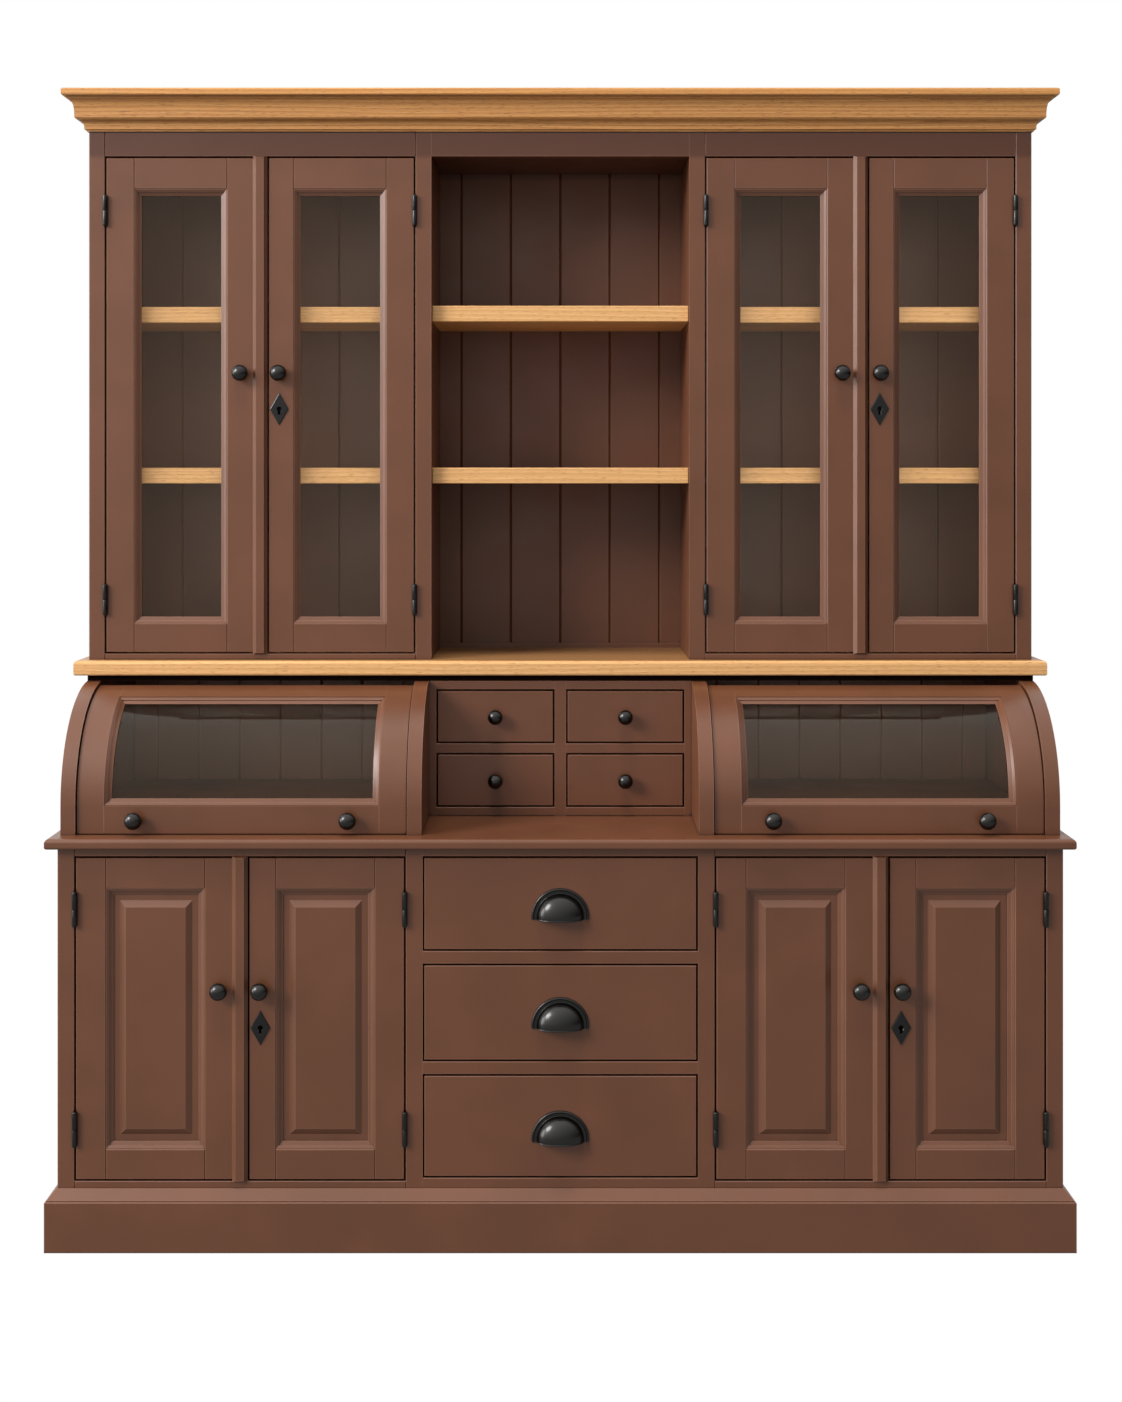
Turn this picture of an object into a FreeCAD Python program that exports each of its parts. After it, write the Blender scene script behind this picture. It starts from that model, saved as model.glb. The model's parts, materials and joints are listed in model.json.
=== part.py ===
import FreeCAD
import Part
import math
import os
from collections import namedtuple

# A painted three-bay dresser with oak tops: cupboards and drawers below, two glazed
# roll-top flaps with small drawers between them, and a glazed hutch above.
# Lengths are millimetres. X runs along the front, the front faces -Y and Z is up.
# The origin is on the floor, under the middle of the dresser with its knobs.

# Carcass
CARCASS_WIDTH = 1900.0
BASE_DEPTH = 520.0
HUTCH_DEPTH = 285.0
CENTRE_BAY_WIDTH = 520.0
STILE_WIDTH = 32.0
FRAME_THICKNESS = 22.0
BOARD_THICKNESS = 20.0
BACK_THICKNESS = 12.0
BACK_BOARD_PITCH = 107.0
CUPBOARD_BOARD_PITCH = 113.0
ROLL_BOARD_PITCH = 88.5
BACK_BOARD_BEVEL = 3.0
ARRIS = 1.2

# Heights from the floor up
PLINTH_HEIGHT = 115.0
DOOR_SILL_REVEAL = 13.0
DRAWER_SILL_REVEAL = 19.0
BASE_DOOR_OPENING = 613.0
BASE_TOP_RAIL = 16.0
BASE_TOP_THICKNESS = 20.0
ROLL_TOP_HEIGHT = 272.0
COVER_THICKNESS = 11.0
WORKTOP_THICKNESS = 30.0
HUTCH_SILL = 12.0
HUTCH_DOOR_OPENING = 1002.0
FRIEZE_HEIGHT = 50.0
CROWN_HEIGHT = 65.0
CAP_THICKNESS = 15.0

# Plinth, tops and cornice
PLINTH_PROJECTION = 20.0
PLINTH_BEVEL = 20.0
PLINTH_EASE = 1.5
PLINTH_STEP = 2.0
PLINTH_LIP = 2.0
BASE_TOP_PROJECTION = 20.0
BASE_TOP_NOSE = 8.0
BASE_TOP_UNDERCUT = 5.0
WORKTOP_PROJECTION = 25.0
WORKTOP_NOSE = 8.0
WORKTOP_UNDERCUT = 4.0
CAP_PROJECTION = 45.0
CAP_ARRIS = 2.5
CROWN_PROJECTION = 37.0
CROWN_SEAT = 22.0
CROWN_CURVE_STEPS = 6

# The crown's corners as shares of its projection and of its height, from the bottom up
CROWN_FOOT_SHARES = ((0.10, 0.00), (0.10, 0.03), (0.21, 0.06), (0.21, 0.16))
CROWN_COVE_SHARES = ((0.23, 0.18), (0.50, 0.33))
CROWN_FILLET_SHARES = ((0.54, 0.33), (0.64, 0.38), (0.64, 0.56))
CROWN_CYMA_SHARES = ((0.65, 0.57), (0.96, 0.94))
CROWN_HEAD_SHARES = ((1.00, 0.96), (1.00, 1.00))

# Base cupboards
CUPBOARD_SHELF_SHARE = 0.52
CUPBOARD_SHELF_SETBACK = 70.0
FLOOR_DROP = 2.0
BACK_FOOT_GAP = 20.0

# Large drawers, from the bottom one up
DRAWER_HEIGHT_SHARES = (0.350, 0.330, 0.320)
DRAWER_RAIL = 24.5
DRAWER_FRONT = 20.0
DRAWER_GAP = 3.0
DRAWER_SIDE = 14.0
DRAWER_BOTTOM = 8.0
DRAWER_BACK_GAP = 14.0
DRAWER_HEADROOM = 22.0
RUNNER_WIDTH = 16.0
RUNNER_HEIGHT = 20.0
SLIDE_CLEARANCE = 0.3
SIDE_PLAY = 1.5
SLIP_WIDTH = 10.0
SLIP_HEIGHT = 8.0

# Small drawers and their case
CASE_SETBACK = 12.0
CASE_STILE = 15.0
CASE_MULLION = 23.0
CASE_END_RAIL = 18.0
CASE_MIDDLE_RAIL = 20.0
DUST_BOARD = 12.0
CASE_PARTITION = 10.0
CASE_GUIDE_HEIGHT = 24.0
SMALL_DRAWER_SIDE = 10.0
SMALL_DRAWER_BOTTOM = 6.0
SMALL_DRAWER_HEADROOM = 10.0

# Roll-top panels and flaps
ROLL_PANEL = 28.0
ROLL_PANEL_SETBACK = 21.0
COVER_SETBACK = 14.0
DESK_BOARD = 28.0
DESK_BOARD_GAP = 6.0
FLAP_FLOOR_GAP = 2.0
FLAP_SIDE_GAP = 2.0
FLAP_RECESS = 6.0
FLAP_THICKNESS = 20.0
FLAP_STILE = 51.0
FLAP_BOTTOM_RAIL = 53.0
FLAP_TOP_RAIL = 58.0
FLAP_ANGLE = 82.0
FLAP_SWING = 80.0
FLAP_KNOB_OFFSET = 203.0
PEG_ANGLES = (14.0, 68.0)
PEG_RADIUS = 4.0
PEG_LENGTH = 6.0
PEG_CLEARANCE = 0.5
GROOVE_DEPTH = 8.0
GROOVE_INSET = 10.0

# Hutch
HUTCH_CEILING_DROP = 8.0
SHELF_HEIGHT_SHARES = (0.3636, 0.6720)
SHELF_THICKNESS = 32.0
NICHE_SHELF_SETBACK = 20.0
DOOR_SHELF_SETBACK = 46.0
NICHE_SKIRTING_HEIGHT = 10.0
NICHE_SKIRTING_THICKNESS = 6.0

# Doors
DOOR_GAP = 3.0
LEAF_THICKNESS = 22.0
HINGE_STILE = 56.0
MEETING_HALF = 67.0
STRIP_WIDTH = 29.0
STRIP_FACE = 16.0
STRIP_THICKNESS = 7.0
STRIP_LAP = 4.0
STRIP_END_BEVEL = 3.0
HUTCH_DOOR_TOP_RAIL = 62.0
HUTCH_DOOR_BOTTOM_RAIL = 58.0
BASE_DOOR_RAIL = 57.0
MOULDING_WIDTH = 13.0
MOULDING_LIP = 1.5
MOULDING_FLAT = 1.5
MOULDING_BEAD = 6.0
MOULDING_BEAD_DROP = 4.0
MOULDING_STEP = 2.0
MOULDING_DROP = 9.0
PANE_DEPTH = 11.0
PANE_THICKNESS = 4.0
REAR_BEAD_WIDTH = 8.0
REAR_BEAD_DEPTH = 6.0
PANEL_THICKNESS = 9.0
PANEL_MARGIN = 12.0
PANEL_BEVEL = 12.0
PANEL_RAISE = 7.0

# Ironmongery
KNOB_RADIUS = 16.5
SMALL_KNOB_RADIUS = 15.0
KNOB_PROJECTION = 30.0
KNOB_FOOT_SHARE = 0.62
KNOB_NECK_SHARE = 0.42
KNOB_FOOT_HEIGHT_SHARE = 0.10
KNOB_NECK_HEIGHT_SHARE = 0.30
KNOB_UNDER_SHARE = 0.45
KNOB_SHOULDER_SHARE = 0.50
KNOB_OFFSET = 38.5
HUTCH_KNOB_SHARE = 0.564
BASE_KNOB_SHARE = 0.590
KEYHOLE_DROP = 72.0
ESCUTCHEON_WIDTH = 37.0
ESCUTCHEON_HEIGHT = 65.0
ESCUTCHEON_THICKNESS = 2.5
KEYHOLE_RADIUS = 4.6
KEYHOLE_SLOT_WIDTH = 4.2
KEYHOLE_SLOT_LENGTH = 11.0
LOCK_WIDTH = 40.0
LOCK_HEIGHT = 56.0
LOCK_THICKNESS = 12.0
LOCK_INSET = 6.0
BOLT_LENGTH = 30.0
BOLT_HEIGHT = 12.0
BOLT_THICKNESS = 6.0
BOLT_CLEARANCE = 0.3
HINGE_RADIUS = 4.75
HINGE_PIN_RADIUS = 2.0
HINGE_CLEARANCE = 0.3
HINGE_PLATE = 1.0
HINGE_PLATE_DEPTH = 18.0
HINGE_TIP = 3.0
HINGE_PIN_REACH = 18.0
HUTCH_HINGE_LENGTH = 64.0
HUTCH_HINGE_INSET = 109.0
BASE_HINGE_LENGTH = 68.0
BASE_HINGE_INSET = 99.0
CUP_RADIUS = 47.5
CUP_RIM = 7.0
CUP_RIM_THICKNESS = 2.5
CUP_PROJECTION = 27.0
CUP_SHOULDER = 14.0
CUP_WALL = 2.5
CUP_SKIRT = 4.5

# Shared working values
OVERRUN = 5.0
TOUCH = 0.001
STILE_ENDS = ("bottom", "top")
RAIL_ENDS = ("left", "right")

# Places along X
SIDE_X = CARCASS_WIDTH / 2
BAY_X = CENTRE_BAY_WIDTH / 2
DOOR_IN_X = BAY_X + STILE_WIDTH
DOOR_OUT_X = SIDE_X - STILE_WIDTH
PAIR_X = (DOOR_IN_X + DOOR_OUT_X) / 2
DOOR_HALF = (DOOR_OUT_X - DOOR_IN_X) / 2
INNER_SIDE_X = SIDE_X - BOARD_THICKNESS
DIVIDER_X = BAY_X + BOARD_THICKNESS
ALCOVE_X = DOOR_IN_X - ROLL_PANEL
ROLL_OUT_X = SIDE_X - ROLL_PANEL

# Places along Y
FACE_Y = (KNOB_PROJECTION - BASE_DEPTH) / 2
BACK_Y = FACE_Y + BASE_DEPTH
HUTCH_Y = BACK_Y - HUTCH_DEPTH
BACK_BOARD_Y = BACK_Y - BACK_THICKNESS
BASE_INSIDE_Y = FACE_Y + FRAME_THICKNESS
HUTCH_INSIDE_Y = HUTCH_Y + FRAME_THICKNESS
WORKTOP_Y = HUTCH_Y - WORKTOP_PROJECTION
CASE_Y = WORKTOP_Y + CASE_SETBACK
CASE_INSIDE_Y = CASE_Y + FRAME_THICKNESS

# Places along Z
DOOR_SILL_Z = PLINTH_HEIGHT + DOOR_SILL_REVEAL
DRAWER_SILL_Z = PLINTH_HEIGHT + DRAWER_SILL_REVEAL
BASE_HEAD_Z = DOOR_SILL_Z + BASE_DOOR_OPENING
BASE_CASE_Z = BASE_HEAD_Z + BASE_TOP_RAIL
LEDGE_Z = BASE_CASE_Z + BASE_TOP_THICKNESS
COVER_Z = LEDGE_Z + ROLL_TOP_HEIGHT
WORKTOP_Z = COVER_Z + COVER_THICKNESS
HUTCH_FOOT_Z = WORKTOP_Z + WORKTOP_THICKNESS
HUTCH_SILL_Z = HUTCH_FOOT_Z + HUTCH_SILL
HUTCH_HEAD_Z = HUTCH_SILL_Z + HUTCH_DOOR_OPENING
HUTCH_TOP_Z = HUTCH_HEAD_Z + FRIEZE_HEIGHT
CEILING_Z = HUTCH_HEAD_Z + HUTCH_CEILING_DROP
CROWN_TOP_Z = HUTCH_TOP_Z + CROWN_HEIGHT

# The curve that the side panels and flaps share, seen from the end
ROLL_CENTRE_Z = LEDGE_Z + FLAP_FLOOR_GAP + FLAP_BOTTOM_RAIL
ROLL_RADIUS = COVER_Z - ROLL_CENTRE_Z
ROLL_FRONT_Y = FACE_Y + ROLL_PANEL_SETBACK
ROLL_CENTRE_Y = ROLL_FRONT_Y + ROLL_RADIUS
FLAP_OUTER = ROLL_RADIUS - FLAP_RECESS
FLAP_INNER = FLAP_OUTER - FLAP_THICKNESS
FLAP_RAIL_ANGLE = FLAP_ANGLE - math.degrees(FLAP_TOP_RAIL / FLAP_OUTER)
GROOVE_RADIUS = FLAP_OUTER - GROOVE_INSET
GROOVE_HALF = PEG_RADIUS + PEG_CLEARANCE
PANE_OUTER = FLAP_OUTER - PANE_DEPTH

V = FreeCAD.Vector
Leaf = namedtuple("Leaf", "name face_y x0 x1 z0 z1 in_x0 in_x1 in_z0 in_z1 "
                          "hinge_x into knob_x knob_z hinge_length hinge_inset locked")
Tier = namedtuple("Tier", "name face_y sill opening top_rail bottom_rail knob_share hinge_length hinge_inset")

HUTCH_TIER = Tier("hutch", HUTCH_Y, HUTCH_SILL_Z, HUTCH_DOOR_OPENING, HUTCH_DOOR_TOP_RAIL,
                  HUTCH_DOOR_BOTTOM_RAIL, HUTCH_KNOB_SHARE, HUTCH_HINGE_LENGTH, HUTCH_HINGE_INSET)
BASE_TIER = Tier("base", FACE_Y, DOOR_SILL_Z, BASE_DOOR_OPENING, BASE_DOOR_RAIL,
                 BASE_DOOR_RAIL, BASE_KNOB_SHARE, BASE_HINGE_LENGTH, BASE_HINGE_INSET)


# Building blocks

def save(name, solids):
    """Write one node: its solids stay separate pieces."""
    shape = solids[0] if len(solids) == 1 else Part.makeCompound(solids)
    bad = [s for s in shape.Solids if not s.isValid() or s.Volume <= 0]
    print(name, len(shape.Solids), "solids", round(shape.Volume), "mm3", "BAD" if bad else "")
    shape.exportStep("parts/" + name + ".step")


def box(x0, x1, y0, y1, z0, z1):
    return Part.makeBox(x1 - x0, y1 - y0, z1 - z0, V(x0, y0, z0))


def mirrored_boxes(x0, x1, y0, y1, z0, z1):
    """The same board on the left and on the right."""
    return [box(-x1, -x0, y0, y1, z0, z1), box(x0, x1, y0, y1, z0, z1)]


def edges_where(shape, test):
    return [e for e in shape.Edges if all(test(v.Point) for v in e.Vertexes)]


def eased_box(x0, x1, y0, y1, z0, z1, sharp=()):
    """A board whose front edges are taken off, apart from the sharp sides where it butts against another."""
    middle_x, middle_z = (x0 + x1) / 2, (z0 + z1) / 2
    places = {"left": V(x0, y0, middle_z), "right": V(x1, y0, middle_z),
              "bottom": V(middle_x, y0, z0), "top": V(middle_x, y0, z1)}
    wanted = [place for side, place in places.items() if side not in sharp]
    board = box(x0, x1, y0, y1, z0, z1)
    return board.makeChamfer(ARRIS, [e for e in board.Edges
                                     if any(e.CenterOfMass.distanceToPoint(p) < TOUCH for p in wanted)])


def outline(points):
    return Part.Face(Part.makePolygon(points + points[:1]))


def prismatoid(first, last):
    """A flat-sided solid between two outlines that have as many points."""
    count = len(first)
    faces = [outline(first), outline(last)]
    for i in range(count):
        j = (i + 1) % count
        faces.append(outline([first[i], first[j], last[j], last[i]]))
    shell = Part.makeShell(faces)
    shell.sewShape()
    solid = Part.makeSolid(shell)
    if solid.Volume < 0:
        solid.reverse()
    return solid


def mitred_frame(x0, x1, z0, z1, y, profile):
    """Four mitred lengths that line an opening; profile holds pairs of inward and depth."""
    corners = []
    for x, z, turn_x, turn_z in ((x0, z0, 1, 1), (x1, z0, -1, 1), (x1, z1, -1, -1), (x0, z1, 1, -1)):
        corners.append([V(x + turn_x * a, y + d, z + turn_z * a) for a, d in profile])
    return [prismatoid(corners[k], corners[(k + 1) % len(corners)]) for k in range(len(corners))]


def wrapped_moulding(profile, face_y):
    """Three mitred lengths round the front and both ends; profile holds pairs of outward and height."""
    def ring(side, at_back):
        return [V(side * (SIDE_X + out), BACK_Y if at_back else face_y - out, z) for out, z in profile]
    front = prismatoid(ring(-1, False), ring(1, False))
    ends = [prismatoid(ring(side, False), ring(side, True)) for side in (-1, 1)]
    return [front] + ends


def rounded_board(x, y0, y1, z0, z1, nose, undercut):
    """A top board with a rounded nose along its front and both ends."""
    board = box(-x, x, y0, y1, z0, z1)
    for z, radius in ((z1, nose), (z0, undercut)):
        level = edges_where(board, lambda p: abs(p.z - z) < TOUCH)
        board = board.makeFillet(radius, [e for e in level if abs(e.CenterOfMass.y - y1) > TOUCH])
    return board


def polar(x, radius, degrees):
    """A point on the roll-top curve: 0 degrees is the front, 90 is the top."""
    turn = math.radians(degrees)
    return V(x, ROLL_CENTRE_Y - radius * math.cos(turn), ROLL_CENTRE_Z + radius * math.sin(turn))


def arc(x, radius, start, end):
    points = [polar(x, radius, a) for a in (start, (start + end) / 2, end)]
    return Part.Arc(*points).toShape()


def ring_sector(r0, r1, a0, a1, x0, x1):
    """Part of a ring about the roll-top axis."""
    edges = [arc(x0, r1, a0, a1),
             Part.makeLine(polar(x0, r1, a1), polar(x0, r0, a1)),
             arc(x0, r0, a1, a0),
             Part.makeLine(polar(x0, r0, a0), polar(x0, r1, a0))]
    return Part.Face(Part.Wire(edges)).extrude(V(x1 - x0, 0, 0))


def turned(x, y, z, edges, degrees=360):
    """Turn an outline drawn beside the line through (x, z) that points to the front."""
    return Part.Face(Part.Wire(edges)).revolve(V(x, y, z), V(0, -1, 0), degrees)


def three_point_arc(start, middle, end):
    return Part.Arc(start, middle, end).toShape()


# Plinth, tops and cornice

def make_plinth():
    """A board with eased top edge, then a small ledge and a bevel up to the carcass."""
    ledge = PLINTH_PROJECTION - 2 * PLINTH_EASE
    face = PLINTH_HEIGHT - PLINTH_BEVEL
    profile = [(0, 0), (PLINTH_PROJECTION, 0), (PLINTH_PROJECTION, face - PLINTH_EASE),
               (PLINTH_PROJECTION - PLINTH_EASE, face), (ledge, face),
               (ledge, face + PLINTH_STEP), (PLINTH_LIP, PLINTH_HEIGHT), (0, PLINTH_HEIGHT)]
    return wrapped_moulding(profile, FACE_Y)


def quarter_curve(start, end, hollow):
    """Points from start to end of a quarter curve, for a profile of outward and height."""
    points = []
    for step in range(CROWN_CURVE_STEPS + 1):
        turn = math.radians(90 * step / CROWN_CURVE_STEPS)
        across = 1 - math.cos(turn) if hollow else math.sin(turn)
        up = math.sin(turn) if hollow else 1 - math.cos(turn)
        points.append((start[0] + (end[0] - start[0]) * across, start[1] + (end[1] - start[1]) * up))
    return points


def crown_point(share):
    return (share[0] * CROWN_PROJECTION, HUTCH_TOP_Z + share[1] * CROWN_HEIGHT)


def make_cornice():
    cove = quarter_curve(*[crown_point(s) for s in CROWN_COVE_SHARES], hollow=True)
    cyma = quarter_curve(*[crown_point(s) for s in CROWN_CYMA_SHARES], hollow=True)
    profile = [(-CROWN_SEAT, HUTCH_TOP_Z)]
    profile += [crown_point(s) for s in CROWN_FOOT_SHARES] + cove
    profile += [crown_point(s) for s in CROWN_FILLET_SHARES] + cyma
    profile += [crown_point(s) for s in CROWN_HEAD_SHARES] + [(-CROWN_SEAT, CROWN_TOP_Z)]
    cap_x = SIDE_X + CAP_PROJECTION
    cap = box(-cap_x, cap_x, HUTCH_Y - CAP_PROJECTION, BACK_Y, CROWN_TOP_Z, CROWN_TOP_Z + CAP_THICKNESS)
    level = [e for e in cap.Edges if e.Length > CAP_THICKNESS + TOUCH]
    rim = [e for e in level if abs(e.CenterOfMass.y - BACK_Y) > TOUCH]
    return wrapped_moulding(profile, HUTCH_Y) + [cap.makeChamfer(CAP_ARRIS, rim)]


def make_base_top():
    return [rounded_board(SIDE_X + BASE_TOP_PROJECTION, FACE_Y - BASE_TOP_PROJECTION, BACK_Y,
                          BASE_CASE_Z, LEDGE_Z, BASE_TOP_NOSE, BASE_TOP_UNDERCUT)]


def make_worktop():
    return [rounded_board(SIDE_X + WORKTOP_PROJECTION, WORKTOP_Y, BACK_Y,
                          WORKTOP_Z, HUTCH_FOOT_Z, WORKTOP_NOSE, WORKTOP_UNDERCUT)]


# Carcass boards

def make_base_uprights():
    sides = mirrored_boxes(INNER_SIDE_X, SIDE_X, BASE_INSIDE_Y, BACK_Y, 0, BASE_CASE_Z)
    dividers = mirrored_boxes(BAY_X, DIVIDER_X, BASE_INSIDE_Y, BACK_BOARD_Y, 0, BASE_CASE_Z)
    return sides + dividers


def make_base_floor_and_shelves():
    floor_top = DOOR_SILL_Z - FLOOR_DROP
    shelf_top = DOOR_SILL_Z + CUPBOARD_SHELF_SHARE * BASE_DOOR_OPENING
    floors = mirrored_boxes(DIVIDER_X, INNER_SIDE_X, BASE_INSIDE_Y, BACK_BOARD_Y,
                            floor_top - BOARD_THICKNESS, floor_top)
    shelves = mirrored_boxes(DIVIDER_X, INNER_SIDE_X, BASE_INSIDE_Y + CUPBOARD_SHELF_SETBACK, BACK_BOARD_Y,
                             shelf_top - BOARD_THICKNESS, shelf_top)
    desk_y = ROLL_CENTRE_Y - FLAP_INNER + DESK_BOARD_GAP
    desks = mirrored_boxes(DOOR_IN_X, ROLL_OUT_X, desk_y, BACK_BOARD_Y, LEDGE_Z, LEDGE_Z + DESK_BOARD)
    return floors + shelves + desks


def stiles(face_y, z0, z1):
    """Four uprights; the inner two are flush with the rails of the centre bay."""
    found = []
    for x0, x1, flush in ((-SIDE_X, -DOOR_OUT_X, ()), (-DOOR_IN_X, -BAY_X, ("right",)),
                          (BAY_X, DOOR_IN_X, ("left",)), (DOOR_OUT_X, SIDE_X, ())):
        found.append(eased_box(x0, x1, face_y, face_y + FRAME_THICKNESS, z0, z1, STILE_ENDS + flush))
    return found


def door_bay_rails(face_y, z0, z1):
    return [eased_box(x0, x1, face_y, face_y + FRAME_THICKNESS, z0, z1)
            for x0, x1 in ((-DOOR_OUT_X, -DOOR_IN_X), (DOOR_IN_X, DOOR_OUT_X))]


def centre_rail(face_y, z0, z1):
    return eased_box(-BAY_X, BAY_X, face_y, face_y + FRAME_THICKNESS, z0, z1, RAIL_ENDS)


def drawer_openings():
    """Bottom and top of each large drawer's opening, from the lowest up."""
    rails = DRAWER_RAIL * (len(DRAWER_HEIGHT_SHARES) - 1)
    clear = BASE_HEAD_Z - DRAWER_SILL_Z - rails
    z = DRAWER_SILL_Z
    found = []
    for share in DRAWER_HEIGHT_SHARES:
        top = z + clear * share / sum(DRAWER_HEIGHT_SHARES)
        found.append((z, top))
        z = top + DRAWER_RAIL
    return found


def make_base_face_frame():
    boards = stiles(FACE_Y, 0, BASE_CASE_Z)
    boards += door_bay_rails(FACE_Y, 0, DOOR_SILL_Z) + door_bay_rails(FACE_Y, BASE_HEAD_Z, BASE_CASE_Z)
    boards += [centre_rail(FACE_Y, 0, DRAWER_SILL_Z), centre_rail(FACE_Y, BASE_HEAD_Z, BASE_CASE_Z)]
    for bottom, top in drawer_openings()[:-1]:
        boards.append(centre_rail(FACE_Y, top, top + DRAWER_RAIL))
    return boards


def back_boards(x0, x1, joint, pitch, z0, z1):
    """Upright boards with a bevel down each front edge, set out both ways from one joint."""
    bevel = BACK_BOARD_BEVEL
    least = 4 * bevel
    steps = range(math.floor((x0 - joint) / pitch), math.ceil((x1 - joint) / pitch) + 1)
    joints = [joint + step * pitch for step in steps]
    edges = [x0] + [x for x in joints if x0 + least < x < x1 - least] + [x1]
    boards = []
    for left, right in zip(edges, edges[1:]):
        points = [V(left, BACK_Y, z0), V(left, BACK_BOARD_Y + bevel, z0),
                  V(left + bevel, BACK_BOARD_Y, z0), V(right - bevel, BACK_BOARD_Y, z0),
                  V(right, BACK_BOARD_Y + bevel, z0), V(right, BACK_Y, z0)]
        boards.append(outline(points).extrude(V(0, 0, z1 - z0)))
    return boards


def bay_back_boards(split, end, joint, pitch, z0, z1):
    """Boards behind three bays: those in the middle from the centre line, the others from a joint."""
    boards = back_boards(-split, split, 0, BACK_BOARD_PITCH, z0, z1)
    boards += back_boards(split, end, joint, pitch, z0, z1)
    return boards + back_boards(-end, -split, -joint, pitch, z0, z1)


def make_lower_back_boards():
    base = back_boards(-INNER_SIDE_X, INNER_SIDE_X, 0, BACK_BOARD_PITCH, BACK_FOOT_GAP, BASE_CASE_Z)
    return base + bay_back_boards(DOOR_IN_X, ROLL_OUT_X, PAIR_X, ROLL_BOARD_PITCH, LEDGE_Z, COVER_Z)


def make_drawer_runners():
    runners = []
    for bottom, top in drawer_openings():
        runners += mirrored_boxes(BAY_X - RUNNER_WIDTH, BAY_X, BASE_INSIDE_Y, BACK_BOARD_Y,
                                  bottom - RUNNER_HEIGHT, bottom)
    return runners


def make_hutch_uprights():
    sides = mirrored_boxes(INNER_SIDE_X, SIDE_X, HUTCH_INSIDE_Y, BACK_Y, HUTCH_FOOT_Z, HUTCH_TOP_Z)
    dividers = mirrored_boxes(BAY_X, DIVIDER_X, HUTCH_INSIDE_Y, BACK_BOARD_Y, HUTCH_FOOT_Z, CEILING_Z)
    top = box(-INNER_SIDE_X, INNER_SIDE_X, HUTCH_INSIDE_Y, BACK_BOARD_Y,
              CEILING_Z, CEILING_Z + BOARD_THICKNESS)
    return sides + dividers + [top]


def make_hutch_face_frame():
    boards = stiles(HUTCH_Y, HUTCH_FOOT_Z, HUTCH_TOP_Z)
    boards += door_bay_rails(HUTCH_Y, HUTCH_FOOT_Z, HUTCH_SILL_Z)
    boards += door_bay_rails(HUTCH_Y, HUTCH_HEAD_Z, HUTCH_TOP_Z)
    return boards + [centre_rail(HUTCH_Y, HUTCH_HEAD_Z, HUTCH_TOP_Z)]


def make_hutch_shelves():
    shelves = []
    for share in SHELF_HEIGHT_SHARES:
        top = HUTCH_FOOT_Z + share * (HUTCH_TOP_Z - HUTCH_FOOT_Z)
        bottom = top - SHELF_THICKNESS
        shelves.append(eased_box(-BAY_X, BAY_X, HUTCH_Y + NICHE_SHELF_SETBACK, BACK_BOARD_Y, bottom, top))
        for side in (-1, 1):
            x0, x1 = sorted((side * DIVIDER_X, side * INNER_SIDE_X))
            shelves.append(eased_box(x0, x1, HUTCH_Y + DOOR_SHELF_SETBACK, BACK_BOARD_Y, bottom, top))
    return shelves


def make_hutch_back_boards():
    skirting = box(-BAY_X, BAY_X, BACK_BOARD_Y - NICHE_SKIRTING_THICKNESS, BACK_BOARD_Y,
                   HUTCH_FOOT_Z, HUTCH_FOOT_Z + NICHE_SKIRTING_HEIGHT)
    split = (BAY_X + DIVIDER_X) / 2
    boards = bay_back_boards(split, INNER_SIDE_X, INNER_SIDE_X, CUPBOARD_BOARD_PITCH,
                             HUTCH_FOOT_Z, HUTCH_TOP_Z)
    return boards + [skirting]


# Roll-top

def roll_panel(x0, x1, back_y, groove_x0, groove_x1):
    """One curved side panel, with the groove that a flap's pegs run in."""
    front_foot = V(x0, ROLL_FRONT_Y, LEDGE_Z)
    back_foot = V(x0, back_y, LEDGE_Z)
    back_top = V(x0, back_y, COVER_Z)
    edges = [Part.makeLine(front_foot, polar(x0, ROLL_RADIUS, 0)), arc(x0, ROLL_RADIUS, 0, 90),
             Part.makeLine(polar(x0, ROLL_RADIUS, 90), back_top), Part.makeLine(back_top, back_foot),
             Part.makeLine(back_foot, front_foot)]
    panel = Part.Face(Part.Wire(edges)).extrude(V(x1 - x0, 0, 0))
    spare = 2 * math.degrees(GROOVE_HALF / GROOVE_RADIUS)
    start, end = min(PEG_ANGLES) - spare, max(PEG_ANGLES) + FLAP_SWING + spare
    groove = ring_sector(GROOVE_RADIUS - GROOVE_HALF, GROOVE_RADIUS + GROOVE_HALF, start, end,
                         groove_x0, groove_x1)
    return panel.cut(groove)


def make_roll_panels():
    panels = []
    for side in (-1, 1):
        out = sorted((side * ROLL_OUT_X, side * SIDE_X))
        out_groove = sorted((side * (ROLL_OUT_X - OVERRUN), side * (ROLL_OUT_X + GROOVE_DEPTH)))
        inner = sorted((side * ALCOVE_X, side * DOOR_IN_X))
        inner_groove = sorted((side * (DOOR_IN_X - GROOVE_DEPTH), side * (DOOR_IN_X + OVERRUN)))
        panels.append(roll_panel(*out, BACK_Y, *out_groove))
        panels.append(roll_panel(*inner, BACK_BOARD_Y, *inner_groove))
    return panels


def flap_edges(side):
    """The flap's two outer edges and the two inner edges of its stiles, along X."""
    x0, x1 = sorted((side * (DOOR_IN_X + FLAP_SIDE_GAP), side * (ROLL_OUT_X - FLAP_SIDE_GAP)))
    return x0, x1, x0 + FLAP_STILE, x1 - FLAP_STILE


def flap_stile(x0, x1):
    bent = ring_sector(FLAP_INNER, FLAP_OUTER, 0, FLAP_ANGLE, x0, x1)
    return bent.fuse(flap_foot(x0, x1)).removeSplitter()


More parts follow.
